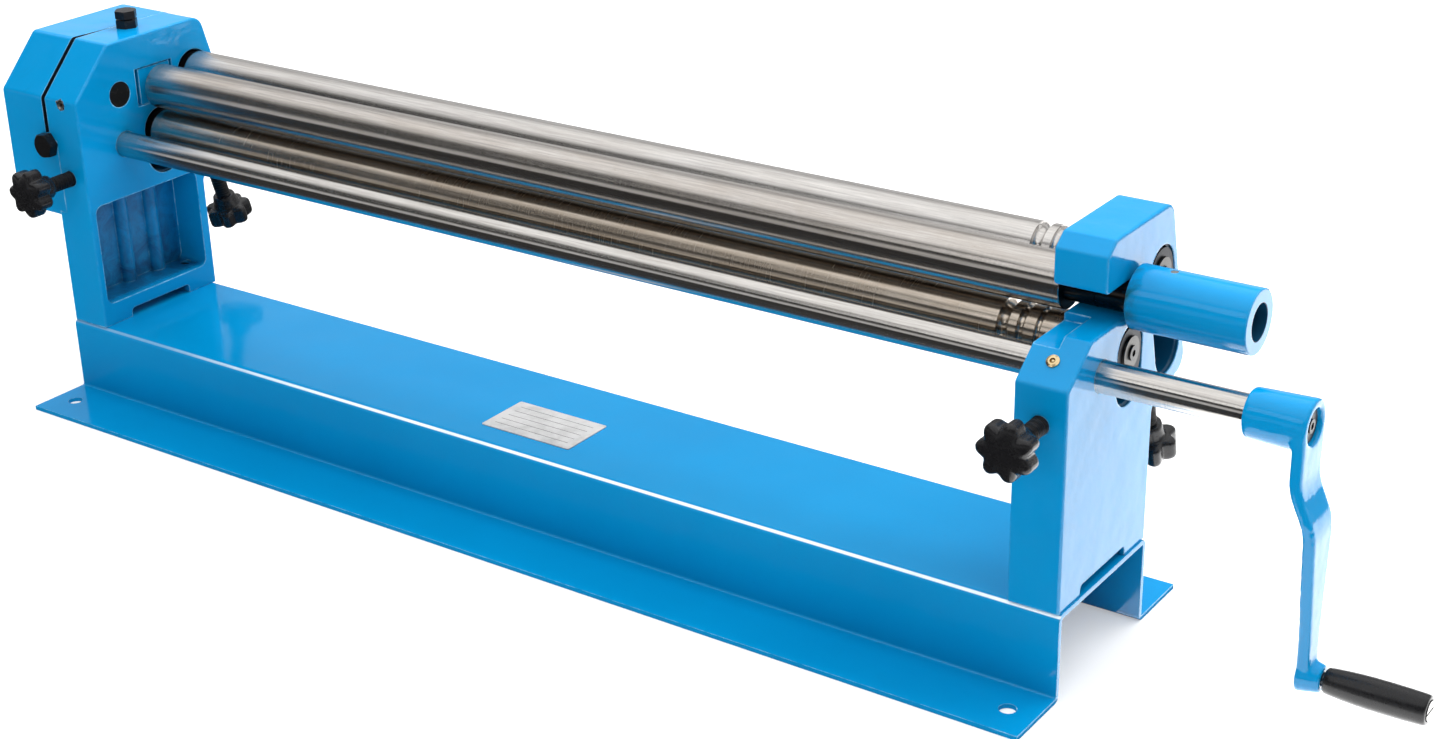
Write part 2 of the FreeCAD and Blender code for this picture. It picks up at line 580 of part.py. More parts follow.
def make_lower_roll():
    """Lower roll with the wire grooves and a journal at each end."""
    body = make_roll(LOWER_Y, LOWER_Z, LOWER_LEFT_END, OUTER_X - 0.2, JOURNAL_RADIUS, JOURNAL_RADIUS, True)
    body = body.cut(key_slot(GEAR_INNER_END - 4, GEAR_INNER_X, LOWER_Y, LOWER_Z, JOURNAL_RADIUS, 5.0, 2.5))
    body = tapped(body, LOWER_LEFT_END - 1, LOWER_LEFT_END + END_SCREW_DEPTH, LOWER_Y, LOWER_Z, 3.0 + SEAT)
    return tapped(body, OUTER_X - 20, OUTER_X + 1, LOWER_Y, LOWER_Z, 3.5 + SEAT)


def make_rear_roll():
    """Rear forming roll with the wire grooves."""
    end = OUTER_X - 0.2
    body = make_roll(REAR_Y, REAR_Z, -end, end, JOURNAL_RADIUS, JOURNAL_RADIUS, True)
    body = tapped(body, end - 20, end + 1, REAR_Y, REAR_Z, 3.5 + SEAT)
    return tapped(body, -end - 1, -end + 20, REAR_Y, REAR_Z, 3.5 + SEAT)


def make_drive_shaft():
    """Shaft from the crank to the pinion, running in both castings."""
    body = rod(SHAFT_LEFT_END, SHAFT_RIGHT_END, SHAFT_Y, SHAFT_Z, SHAFT_RADIUS)
    body = body.cut(key_slot(SHAFT_LEFT_END, GEAR_INNER_X, SHAFT_Y, SHAFT_Z, SHAFT_RADIUS, 6.0, 3.0))
    body = body.cut(key_slot(HUB_LEFT_X + 6, SHAFT_RIGHT_END, SHAFT_Y, SHAFT_Z, SHAFT_RADIUS, 6.0, 3.0))
    body = tapped(body, SHAFT_LEFT_END - 1, SHAFT_LEFT_END + 20, SHAFT_Y, SHAFT_Z, 3.0 + SEAT)
    return tapped(body, SHAFT_RIGHT_END - 22, SHAFT_RIGHT_END + 1, SHAFT_Y, SHAFT_Z, 4.0 + SEAT)


def bored_gear(teeth, y, z, phase, x0, x1, bore, key_width, key_depth):
    """Gear with a bore and, if key_width is given, a keyway in the hub side."""
    body = gear_blank(teeth, y, z, phase, x0, x1)
    body = body.cut(rod(x0 - 1, x1 + 1, y, z, bore))
    if key_width > 0:
        body = body.cut(box(x0 - 1, x1 + 1, y - key_width / 2, y + key_width / 2, z, z + bore + key_depth))
    return body


PINION_PHASE = 0.0
IDLER_PHASE = mesh_phase(SHAFT_Y, SHAFT_Z, PINION_TEETH, PINION_PHASE, SHAFT_Y, IDLER_Z, PINION_TEETH)
UPPER_PHASE = mesh_phase(SHAFT_Y, IDLER_Z, PINION_TEETH, IDLER_PHASE, UPPER_Y, UPPER_Z, ROLL_GEAR_TEETH)
LOWER_PHASE = mesh_phase(SHAFT_Y, SHAFT_Z, PINION_TEETH, PINION_PHASE, LOWER_Y, LOWER_Z, ROLL_GEAR_TEETH)


def make_drive_pinion():
    return bored_gear(PINION_TEETH, SHAFT_Y, SHAFT_Z, PINION_PHASE, GEAR_OUTER_END, GEAR_INNER_X,
                      SHAFT_RADIUS + SEAT, 6.0 + 2 * SEAT, 2.0 + SEAT)


def make_idler_gear():
    return bored_gear(PINION_TEETH, SHAFT_Y, IDLER_Z, IDLER_PHASE, GEAR_OUTER_END, GEAR_OUTER_X,
                      IDLER_PIN_RADIUS + SHAFT_PLAY, 0.0, 0.0)


def make_upper_gear():
    return bored_gear(ROLL_GEAR_TEETH, UPPER_Y, UPPER_Z, UPPER_PHASE, GEAR_OUTER_END, GEAR_OUTER_X,
                      JOURNAL_RADIUS + SEAT, 5.0 + 2 * SEAT, 1.5 + SEAT)


def make_lower_gear():
    return bored_gear(ROLL_GEAR_TEETH, LOWER_Y, LOWER_Z, LOWER_PHASE, GEAR_INNER_END, GEAR_INNER_X,
                      JOURNAL_RADIUS + SEAT, 5.0 + 2 * SEAT, 1.5 + SEAT)


def make_keys():
    """Square keys of the pinion and the crank, then of the two roll gears."""
    def key(x0, x1, y, z, r, width, depth, rise):
        w = width / 2 - SEAT
        return box(x0, x1, y - w, y + w, z + r - depth + SEAT, z + r + rise)
    shaft_keys = Part.makeCompound([
        key(GEAR_OUTER_END, GEAR_INNER_X - 0.3, SHAFT_Y, SHAFT_Z, SHAFT_RADIUS, 6.0, 3.0, 2.0 - SEAT),
        key(HUB_LEFT_X + 6.3, SHAFT_RIGHT_END - 1, SHAFT_Y, SHAFT_Z, SHAFT_RADIUS, 6.0, 3.0, 2.0 - SEAT)])
    upper = key(GEAR_OUTER_END, GEAR_OUTER_X - 0.3, UPPER_Y, UPPER_Z, JOURNAL_RADIUS, 5.0, 2.5, 1.5 - SEAT)
    lower = key(GEAR_INNER_END, GEAR_INNER_X - 0.3, LOWER_Y, LOWER_Z, JOURNAL_RADIUS, 5.0, 2.5, 1.5 - SEAT)
    return shaft_keys, upper, lower


def end_screw(x, y, z, away, washer_r, washer_t, shank_r, head_r, head_h, socket):
    """Washer on a shaft's end and its socket screw. away is the outward side, 1 or -1."""
    def piece(a, b, r):
        lo, hi = sorted((x + away * a, x + away * b))
        return rod(lo, hi, y, z, r)
    washer = piece(0.0, washer_t, washer_r).cut(piece(-1.0, washer_t + 1, shank_r + SEAT))
    screw = piece(washer_t, washer_t + head_h, head_r).fuse(piece(-15.0, washer_t + 0.5, shank_r))
    drive = hexagon(socket, head_h * 0.75 + 1, V(x + away * (washer_t + head_h * 0.25), y, z), V(away, 0, 0))
    return washer, screw.cut(drive)


def make_idler_pin():
    """Pin of the idler gear, with a groove for its retaining ring."""
    body = rod(SHAFT_LEFT_END, -INNER_X - SEAT, SHAFT_Y, IDLER_Z, IDLER_PIN_RADIUS)
    ring = rod(CLIP_X - CLIP_HALF - 0.1, CLIP_X + CLIP_HALF + 0.1, SHAFT_Y, IDLER_Z, IDLER_PIN_RADIUS + 1)
    ring = ring.cut(rod(CLIP_X - 2, CLIP_X + 2, SHAFT_Y, IDLER_Z, IDLER_PIN_RADIUS - 0.9))
    return body.cut(ring)


def make_idler_clip():
    """Spring steel retaining ring in the pin's groove."""
    body = rod(CLIP_X - CLIP_HALF, CLIP_X + CLIP_HALF, SHAFT_Y, IDLER_Z, IDLER_PIN_RADIUS + 2.4)
    body = body.cut(rod(CLIP_X - 2, CLIP_X + 2, SHAFT_Y, IDLER_Z, IDLER_PIN_RADIUS - 0.9 + SEAT))
    return body.cut(box(CLIP_X - 2, CLIP_X + 2, SHAFT_Y - 3, SHAFT_Y + 3, IDLER_Z, IDLER_Z + 20))


def make_idler_spacer():
    """Collar that keeps the idler gear clear of the casting."""
    body = rod(GEAR_OUTER_X + 0.2, -OUTER_X - SEAT, SHAFT_Y, IDLER_Z, 15.5)
    return body.cut(rod(GEAR_OUTER_X, -OUTER_X + 1, SHAFT_Y, IDLER_Z, IDLER_PIN_RADIUS + SEAT))


def make_swivel_block():
    """Iron block that carries the upper roll's left journal and turns on the pivot."""
    body = box(-OUTER_X + 2.0, -INNER_X - 1.5, UPPER_Y - SWIVEL_HALF, UPPER_Y + SWIVEL_HALF,
               WINDOW_Z0 + SWIVEL_PLAY, WINDOW_Z1 - 1.0)
    body = body.cut(rod(-OUTER_X, -INNER_X, UPPER_Y, UPPER_Z, JOURNAL_RADIUS + BUSH_PLAY))
    return body.cut(Part.makeCylinder(PIVOT_RADIUS + SWIVEL_PLAY, PIVOT_DEPTH + 2,
                                      V(PIVOT_X, UPPER_Y, WINDOW_Z1 - PIVOT_DEPTH)))


def make_pivot_bolt():
    """Hexagon bolt through the top of the left casting into the swivel block."""
    z0 = WINDOW_Z1 - PIVOT_DEPTH + 0.5
    shank = Part.makeCylinder(PIVOT_RADIUS, PIVOT_HEAD_Z + 0.1 - z0, V(PIVOT_X, UPPER_Y, z0))
    head = hexagon(19.0, 7.5, V(PIVOT_X, UPPER_Y, PIVOT_HEAD_Z), V(0, 0, 1), 10.0)
    cone = Part.makeCone(12.5, 9.4, 3.2, V(PIVOT_X, UPPER_Y, PIVOT_HEAD_Z + 5.0))
    low = Part.makeCylinder(14, 5.1, V(PIVOT_X, UPPER_Y, PIVOT_HEAD_Z - 0.1))
    return head.common(cone.fuse(low)).fuse(shank)


def make_pivot_nut():
    """Lock nut on the casting's top face."""
    body = hexagon(19.0, 8.0, V(PIVOT_X, UPPER_Y, CASTING_TOP_Z), V(0, 0, 1), 10.0)
    return body.cut(Part.makeCylinder(PIVOT_RADIUS + SEAT, 20, V(PIVOT_X, UPPER_Y, CASTING_TOP_Z - 5)))


def make_lower_block(side):
    """Iron bearing block of the lower roll; its bevel rests on the screw's point."""
    half = SLOT_HALF - BLOCK_PLAY
    lo, hi = sorted((side * (INNER_X + BLOCK_END_GAP), side * (OUTER_X - BLOCK_END_GAP)))
    body = slot_shape(lo, hi, LOWER_Y, LOWER_BLOCK_LOW_Z, LOWER_Z, half)
    reach = FRONT_TIP_Y + FRONT_SCREW_Z + SCREW_TIP_RADIUS + 0.07
    low = [(LOWER_Y - 40, reach - LOWER_Y + 40, 0.0), (LOWER_Y + 40, reach - LOWER_Y - 40, 0.0),
           (LOWER_Y - 40, reach - LOWER_Y - 40, 0.0)]
    body = body.cut(slab(low, lo - 1, hi + 1))
    return body.cut(rod(lo - 1, hi + 1, LOWER_Y, LOWER_Z, BUSH_RADIUS + BUSH_PLAY))


def make_lower_bushes():
    """Bronze sleeves between the lower roll's journals and its blocks."""
    out = []
    for side in (-1, 1):
        lo, hi = sorted((side * (INNER_X + BLOCK_END_GAP), side * (OUTER_X - BLOCK_END_GAP)))
        sleeve = rod(lo, hi, LOWER_Y, LOWER_Z, BUSH_RADIUS)
        out.append(sleeve.cut(rod(lo - 1, hi + 1, LOWER_Y, LOWER_Z, JOURNAL_RADIUS + BUSH_PLAY)))
    return Part.makeCompound(out)


def make_rear_block(side):
    """Iron bearing block of the rear roll."""
    half = SLOT_HALF - BLOCK_PLAY
    lo, hi = sorted((side * (INNER_X + BLOCK_END_GAP), side * (OUTER_X - BLOCK_END_GAP)))
    body = rear_slot_shape(lo, hi, 0.0, REAR_BLOCK_LOW, half)
    return body.cut(rod(lo - 1, hi + 1, REAR_Y, REAR_Z, JOURNAL_RADIUS + BUSH_PLAY))


def knob_body(length_neck):
    """Star knob along +Z: face at 0, neck ending at KNOB_THICK plus the neck."""
    count = KNOB_LOBES * 16
    pts = []
    mean = (KNOB_RADIUS + KNOB_VALLEY) / 2
    amp = (KNOB_RADIUS - KNOB_VALLEY) / 2
    for i in range(count):
        a = 2 * math.pi * i / count
        wave = math.cos(KNOB_LOBES * a)
        lobe = mean + amp * (1.25 * wave - 0.25 * wave * wave)
        pts.append(V(lobe * math.cos(a), lobe * math.sin(a), 0))
    curve = Part.BSplineCurve()
    curve.interpolate(Points=pts, PeriodicFlag=True)
    body = Part.Face(Part.Wire([curve.toShape()])).extrude(V(0, 0, KNOB_THICK))
    dome = Part.makeSphere(58.0, V(0, 0, 57.0))
    body = body.common(dome.fuse(Part.makeCylinder(40, KNOB_THICK, V(0, 0, 6))))
    neck = Part.makeCone(KNOB_NECK_RADIUS + 2.5, KNOB_NECK_RADIUS, length_neck, V(0, 0, KNOB_THICK - 0.01))
    body = body.fuse(neck)
    hole = Part.makeCylinder(SCREW_RADIUS + SEAT, length_neck + KNOB_THICK - 6, V(0, 0, 6))
    return body.cut(hole)


def place_along(solid, base, direction):
    """Put a solid built along +Z on base, pointing along direction."""
    solid.Placement = FreeCAD.Placement(base, FreeCAD.Rotation(V(0, 0, 1), direction))
    return solid


def make_front_knob(side):
    """Star knob of a front adjusting screw."""
    base = V(side * SCREW_X, FRONT_KNOB_FACE, FRONT_SCREW_Z)
    return place_along(knob_body(KNOB_NECK_LENGTH), base, V(0, 1, 0))


def make_rear_knob(side):
    """Star knob of a rear adjusting screw."""
    y, z = rear_point(REAR_KNOB_FACE)
    up = V(0, -math.sin(TILT), math.cos(TILT))
    return place_along(knob_body(KNOB_NECK_LENGTH), V(side * SCREW_X, y, z), up)


def make_front_screw(side):
    """Pointed screw that raises the lower block."""
    start = FRONT_KNOB_FACE + 6.3
    cone_y = FRONT_TIP_Y - SCREW_RADIUS + SCREW_TIP_RADIUS
    shank = Part.makeCylinder(SCREW_RADIUS, cone_y - start,
                              V(side * SCREW_X, start, FRONT_SCREW_Z), V(0, 1, 0))
    point = Part.makeCone(SCREW_RADIUS, SCREW_TIP_RADIUS, SCREW_RADIUS - SCREW_TIP_RADIUS,
                          V(side * SCREW_X, cone_y, FRONT_SCREW_Z), V(0, 1, 0))
    return shank.fuse(point)


def make_rear_screw(side):
    """Screw that pushes the rear block along its slot."""
    s0 = REAR_BLOCK_LOW + SLOT_HALF + 0.1
    s1 = REAR_KNOB_FACE - 6.3
    y, z = rear_point(s0)
    down = V(0, math.sin(TILT), -math.cos(TILT))
    return Part.makeCylinder(SCREW_RADIUS, s1 - s0, V(side * SCREW_X, y, z), down)


def make_crank_arm():
    """Crank: hub, jogged flat arm and the boss for the grip pin."""
    hub = cone_x(HUB_LEFT_X, HUB_RIGHT_X, SHAFT_Y, SHAFT_Z, HUB_LEFT_RADIUS, HUB_RIGHT_RADIUS)
    rim = [e for e in hub.Edges if e.Curve.TypeId == "Part::GeomCircle"]
    hub = hub.makeFillet(2.5, [min(rim, key=lambda e: e.BoundBox.XMin)])
    grip_z = SHAFT_Z - CRANK_RADIUS
    t = ARM_THICK
    xo = HUB_RIGHT_X
    jog_top = SHAFT_Z - ARM_JOG_TOP
    jog_low = SHAFT_Z - ARM_JOG_LOW
    side_view = [V(xo, 0, SHAFT_Z + ARM_TOP_HALF - 1), V(xo, 0, jog_top),
                 V(xo + ARM_JOG * 0.5, 0, (jog_top + jog_low) / 2), V(xo + ARM_JOG, 0, jog_low),
                 V(xo + ARM_JOG + 1.5, 0, grip_z - 30)]
    outer = Part.BSplineCurve()
    outer.interpolate(side_view[1:4], InitialTangent=V(0, 0, -1) * 45, FinalTangent=V(0, 0, -1) * 45)
    shift = V(-t, 0, 0)
    inner = outer.copy()
    inner.translate(shift)
    edges = [Part.makeLine(side_view[0], side_view[1]), outer.toShape(),
             Part.makeLine(side_view[3], side_view[4]), Part.makeLine(side_view[4], side_view[4] + shift),
             Part.makeLine(side_view[4] + shift, side_view[3] + shift), inner.toShape(),
             Part.makeLine(side_view[1] + shift, side_view[0] + shift),
             Part.makeLine(side_view[0] + shift, side_view[0])]
    strip = Part.Face(Part.Wire(Part.__sortEdges__(edges)))
    strip.translate(V(0, SHAFT_Y - 2 * ARM_TOP_HALF, 0))
    bar = strip.extrude(V(0, 4 * ARM_TOP_HALF, 0))
    taper_top = SHAFT_Z - ARM_TAPER_TOP
    taper_low = grip_z + ARM_TAPER_LOW
    plan = Part.Face(Part.makePolygon([
        V(0, SHAFT_Y - ARM_TOP_HALF, SHAFT_Z), V(0, SHAFT_Y + ARM_TOP_HALF, SHAFT_Z),
        V(0, SHAFT_Y + ARM_TOP_HALF - 1.0, taper_top), V(0, SHAFT_Y + ARM_END_HALF, taper_low),
        V(0, SHAFT_Y + ARM_END_HALF, grip_z), V(0, SHAFT_Y - ARM_END_HALF, grip_z),
        V(0, SHAFT_Y - ARM_END_HALF, taper_low), V(0, SHAFT_Y - ARM_TOP_HALF + 1.0, taper_top),
        V(0, SHAFT_Y - ARM_TOP_HALF, SHAFT_Z)])).extrude(V(GRIP_END_X, 0, 0))
    plan = plan.fuse(rod(0, GRIP_END_X, SHAFT_Y, SHAFT_Z, ARM_TOP_HALF))
    plan = plan.fuse(rod(0, GRIP_END_X, SHAFT_Y, grip_z, ARM_END_HALF + 1.5))
    bar = bar.common(plan)
    body = bar.fuse(hub)
    boss_x = xo + ARM_JOG + 1.2
    body = body.fuse(cone_x(boss_x - t, GRIP_START_X - 1.5, SHAFT_Y, grip_z, ARM_END_HALF + 3.0, ARM_END_HALF - 0.5))
    body = body.cut(rod(HUB_LEFT_X - 1, HUB_RIGHT_X - 6.4, SHAFT_Y, SHAFT_Z, SHAFT_RADIUS + SEAT))
    body = body.cut(rod(SHAFT_RIGHT_END + 0.2, HUB_RIGHT_X + 5, SHAFT_Y, SHAFT_Z, HUB_RECESS_RADIUS))
    body = body.cut(box(HUB_LEFT_X + 6, SHAFT_RIGHT_END + 0.3, SHAFT_Y - 3 - SEAT, SHAFT_Y + 3 + SEAT,
                        SHAFT_Z, SHAFT_Z + SHAFT_RADIUS + 2.0 + SEAT))
    return body.cut(rod(boss_x - t - 1, GRIP_START_X, SHAFT_Y, grip_z, GRIP_PIN_RADIUS + SEAT)).removeSplitter()


def make_crank_grip():
    """Turned black grip that spins on its pin."""
    z = SHAFT_Z - CRANK_RADIUS
    pts = [(GRIP_START_X, 9.8), (GRIP_START_X + 14, 11.2), (GRIP_START_X + 38, 12.1), (GRIP_END_X - 14, 11.9),
           (GRIP_END_X, 11.3)]
    curve = Part.BSplineCurve()
    curve.interpolate([V(x, 0, r) for x, r in pts])
    a = V(GRIP_START_X, 0, 0)
    b = V(GRIP_END_X, 0, 0)
    wire = Part.Wire([Part.makeLine(a, V(pts[0][0], 0, pts[0][1])), curve.toShape(),
                      Part.makeLine(V(pts[-1][0], 0, pts[-1][1]), b), Part.makeLine(b, a)])
    body = Part.Face(wire).revolve(V(0, 0, 0), V(1, 0, 0), 360)
    body.translate(V(0, SHAFT_Y, z))
    body = body.cut(rod(GRIP_START_X - 1, GRIP_END_X + 1, SHAFT_Y, z, GRIP_PIN_RADIUS + SHAFT_PLAY))
    return body.cut(rod(GRIP_END_X - 3, GRIP_END_X + 1, SHAFT_Y, z, GRIP_HEAD_RADIUS + 0.8))


def make_grip_pin():
    """Steel pin with a slotted head, riveted into the arm's boss."""
    z = SHAFT_Z - CRANK_RADIUS
    x0 = HUB_RIGHT_X + ARM_JOG + 1.2 - ARM_THICK
    body = rod(x0, GRIP_END_X - 1, SHAFT_Y, z, GRIP_PIN_RADIUS)
    body = body.fuse(rod(GRIP_END_X - 2.8, GRIP_END_X + 0.8, SHAFT_Y, z, GRIP_HEAD_RADIUS))
    return body.cut(box(GRIP_END_X - 0.8, GRIP_END_X + 2, SHAFT_Y - 10, SHAFT_Y + 10, z - 0.9, z + 0.9))


def make_lift_handle():
    """Painted tube pinned on the upper roll's right journal."""
    body = rod(HANDLE_LEFT_X, HANDLE_RIGHT_X, UPPER_Y, UPPER_Z, HANDLE_RADIUS)
    rims = [e for e in body.Edges if e.Curve.TypeId == "Part::GeomCircle"]
    body = body.makeFillet(1.0, rims)
    step_x = UPPER_JOURNAL_END + HANDLE_STEP
    body = body.cut(rod(HANDLE_LEFT_X - 1, step_x + 0.5, UPPER_Y, UPPER_Z, HANDLE_SEAT))
    body = body.cut(rod(step_x, HANDLE_RIGHT_X + 1, UPPER_Y, UPPER_Z, HANDLE_BORE))
    return body.cut(handle_pin_hole())


def make_handle_pin():
    """Cross pin through the handle and the journal."""
    reach = math.sqrt(HANDLE_RADIUS ** 2 - HANDLE_PIN_RADIUS ** 2) - 0.1
    return Part.makeCylinder(HANDLE_PIN_RADIUS, 2 * reach, V(HANDLE_PIN_X, UPPER_Y, UPPER_Z - reach))


def make_cover_bolt():
    """Hexagon bolt that clamps the cover to the left casting."""
    head = hexagon(22.0, 9.0, V(COVER_BOLT_X, CASTING_FRONT_Y, COVER_BOLT_Z), V(0, -1, 0), 8.0)
    cone = Part.makeCone(16.0, 11.0, 4.0, V(COVER_BOLT_X, CASTING_FRONT_Y - 5.0, COVER_BOLT_Z), V(0, -1, 0))
    low = Part.makeCylinder(16, 5.1, V(COVER_BOLT_X, CASTING_FRONT_Y + 0.05, COVER_BOLT_Z), V(0, -1, 0))
    head = head.common(cone.fuse(low))
    shank = Part.makeCylinder(COVER_BOLT_RADIUS, 18.0, V(COVER_BOLT_X, CASTING_FRONT_Y - 0.5, COVER_BOLT_Z),
                              V(0, 1, 0))
    return head.fuse(shank)


def make_cover_screws():
    """Socket screws through the cover's posts into the left casting."""
    out = []
    for y, z in COVER_POSTS:
        shank = rod(COVER_OUTER_X + 2, -OUTER_X + 14, y, z, COVER_SCREW_RADIUS)
        head = rod(COVER_OUTER_X - 2.6, COVER_OUTER_X + 3.2, y, z, 5.4)
        socket = hexagon(5.0, 3.5, V(COVER_OUTER_X + 0.4, y, z), V(-1, 0, 0))
        out.append(shank.fuse(head).cut(socket))
    return Part.makeCompound(out)


def make_frame_bolts():
    """Hexagon bolts from under the base into the castings, and their washers."""
    bolts = []
    washers = []
    under = BASE_HEIGHT - BASE_SHEET
    for sx in (-1, 1):
        for sy in (-1, 1):
            x = sx * FRAME_BOLT_X
            y = sy * FRAME_BOLT_Y
            head = hexagon(16.0, 6.4, V(x, y, under - FRAME_WASHER_THICK), V(0, 0, -1))
            shank = Part.makeCylinder(FRAME_BOLT_RADIUS, POCKET_Z0 - under,
                                      V(x, y, under - FRAME_WASHER_THICK - 0.2))
            bolts.append(head.fuse(shank))
            ring = Part.makeCylinder(FRAME_WASHER_RADIUS, FRAME_WASHER_THICK, V(x, y, under - FRAME_WASHER_THICK))
            washers.append(ring.cut(Part.makeCylinder(FRAME_BOLT_RADIUS + 0.3, 4, V(x, y, under - 3))))
    return Part.makeCompound(bolts), Part.makeCompound(washers)


def make_ball_oiler():
    """Brass press-in ball oiler on the right casting's chamfer."""
    y, z, normal = oiler_place()
    base = V(SCREW_X, y, z)
    body = Part.makeCylinder(OIL_HOLE_RADIUS, 10.5, base - normal * 10, normal)
    body = body.fuse(Part.makeCylinder(5.2, 0.9, base, normal))
    body = body.fuse(Part.makeCone(5.2, 3.6, 0.7, base + normal * 0.9, normal))
    body = body.cut(Part.makeCylinder(2.2, 6, base - normal * 3, normal))
    return body.fuse(Part.makeSphere(2.3, base - normal * 0.9))


def make_oil_screw():
    """Small steel oil hole plug in the left casting's front face."""
    y = CASTING_FRONT_Y
    body = Part.makeCylinder(OIL_HOLE_RADIUS, 10, V(-SCREW_X, y + 1.0, OIL_PLUG_Z), V(0, 1, 0))
    return body.cut(hexagon(3.5, 6, V(-SCREW_X, y + 5.0, OIL_PLUG_Z), V(0, -1, 0)))


def make_data_plate():
    """Plain plate fixed on the base."""
    body = box(PLATE_X0, PLATE_X1, PLATE_Y0, PLATE_Y1, BASE_HEIGHT, BASE_HEIGHT + PLATE_THICK)
    corners = [e for e in body.Edges if abs(e.BoundBox.ZLength - PLATE_THICK) < 1e-3
               and e.BoundBox.XLength < 1e-3 and e.BoundBox.YLength < 1e-3]
    return body.makeFillet(2.0, corners)


def roll_end_pieces(y, z):
    """Washer and screw on the right end of a roll's journal."""
    return end_screw(OUTER_X - 0.2, y, z, 1, 13.0, 1.8, 3.5, 6.0, 1.6, 5.0)


def build():
    """All pieces by node name."""
    parts = {}
    parts["base_channel"] = make_base_channel()
    parts["left_frame"] = make_left_frame()
    parts["right_frame"] = make_right_frame()
    parts["gear_cover"] = make_gear_cover()
    parts["cover_bolt"] = make_cover_bolt()
    parts["cover_screws"] = make_cover_screws()
    parts["frame_bolts"], parts["frame_washers"] = make_frame_bolts()
    parts["data_plate"] = make_data_plate()
    parts["ball_oiler"] = make_ball_oiler()
    parts["oil_plug"] = make_oil_screw()
    parts["idler_pin"] = make_idler_pin()
    parts["idler_clip"] = make_idler_clip()
    parts["idler_spacer"] = make_idler_spacer()
    parts["idler_gear"] = make_idler_gear()
    parts["drive_shaft"] = make_drive_shaft()
    parts["drive_pinion"] = make_drive_pinion()
    parts["shaft_keys"], parts["upper_key"], parts["lower_key"] = make_keys()
    parts["pinion_washer"], parts["pinion_screw"] = end_screw(
        SHAFT_LEFT_END, SHAFT_Y, SHAFT_Z, -1, 15.0, 2.0, 3.0, 5.0, 5.0, 5.0)
    parts["crank_arm"] = make_crank_arm()
    parts["crank_washer"], parts["crank_screw"] = end_screw(
        SHAFT_RIGHT_END + 0.25, SHAFT_Y, SHAFT_Z, 1, 12.9, 2.4, 4.0, 5.2, 1.6, 5.0)
    parts["crank_grip"] = make_crank_grip()
    parts["grip_pin"] = make_grip_pin()
    parts["upper_roll"] = make_upper_roll()
    parts["upper_gear"] = make_upper_gear()
    parts["upper_gear_washer"], parts["upper_gear_screw"] = end_screw(
        SHAFT_LEFT_END, UPPER_Y, UPPER_Z, -1, 12.0, 2.0, 3.0, 5.0, 5.0, 5.0)
    parts["lift_handle"] = make_lift_handle()
    parts["handle_pin"] = make_handle_pin()
    parts["swivel_block"] = make_swivel_block()
    parts["pivot_bolt"] = make_pivot_bolt()
    parts["pivot_nut"] = make_pivot_nut()
    parts["lower_roll"] = make_lower_roll()
    parts["lower_gear"] = make_lower_gear()
    parts["lower_gear_washer"], parts["lower_gear_screw"] = end_screw(
        LOWER_LEFT_END, LOWER_Y, LOWER_Z, -1, 12.0, 2.0, 3.0, 5.0, 5.0, 5.0)
    parts["lower_end_washer"], parts["lower_end_screw"] = roll_end_pieces(LOWER_Y, LOWER_Z)
    parts["lower_block_left"] = make_lower_block(-1)
    parts["lower_block_right"] = make_lower_block(1)
    parts["lower_bushes"] = make_lower_bushes()
    parts["rear_roll"] = make_rear_roll()
    parts["rear_end_washer"], parts["rear_end_screw"] = roll_end_pieces(REAR_Y, REAR_Z)
    parts["rear_block_left"] = make_rear_block(-1)
    parts["rear_block_right"] = make_rear_block(1)
    for name, side in (("left", -1), ("right", 1)):
        parts["front_screw_" + name] = make_front_screw(side)
        parts["front_knob_" + name] = make_front_knob(side)
        parts["rear_screw_" + name] = make_rear_screw(side)
        parts["rear_knob_" + name] = make_rear_knob(side)
    return parts


os.makedirs("parts", exist_ok=True)
for node, shape in build().items():
    if not shape.isValid():
        print("not valid:", node)
    for solid in shape.Solids:
        if not solid.isClosed():
            print("not closed:", node)
    print(node, len(shape.Solids), round(shape.Volume / 1000.0, 2))
    shape.exportStep(os.path.join("parts", node + ".step"))
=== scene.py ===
import math

import bmesh
import bpy
from mathutils import Matrix, Vector


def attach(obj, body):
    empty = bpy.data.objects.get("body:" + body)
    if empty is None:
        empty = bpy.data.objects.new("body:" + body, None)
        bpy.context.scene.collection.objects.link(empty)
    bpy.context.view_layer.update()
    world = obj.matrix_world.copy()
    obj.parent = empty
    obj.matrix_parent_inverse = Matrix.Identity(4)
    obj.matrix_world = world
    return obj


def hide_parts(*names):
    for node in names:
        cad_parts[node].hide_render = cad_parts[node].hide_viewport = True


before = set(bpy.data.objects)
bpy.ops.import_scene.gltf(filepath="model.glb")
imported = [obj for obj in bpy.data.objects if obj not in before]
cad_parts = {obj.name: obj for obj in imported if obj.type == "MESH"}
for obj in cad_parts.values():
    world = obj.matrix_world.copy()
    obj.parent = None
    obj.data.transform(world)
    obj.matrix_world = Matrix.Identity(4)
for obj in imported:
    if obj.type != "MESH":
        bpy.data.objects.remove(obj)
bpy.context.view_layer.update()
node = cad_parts

# The place where the machine stands: a white studio sweep, lit by large soft panels.
# The floor is matt white board, and the camera stands at the front right, above the rolls.
# All sizes are metres. X runs along the rolls to the crank, Y to the rear and Z up.

photo_width = 1439.0
focal_pixels = 2286.69

camera = bpy.data.objects.new("camera", bpy.data.cameras.new("camera"))
bpy.context.scene.collection.objects.link(camera)
camera.data.sensor_width = 36.0
camera.data.lens = 36.0 * focal_pixels / photo_width
camera.data.clip_end = 50.0
camera.rotation_euler = (1.15501239, 0.02111249, 0.60798203)
camera.location = (1.19776, -1.42279, 0.93458)
bpy.context.scene.camera = camera
bpy.context.scene.view_settings.view_transform = "Standard"


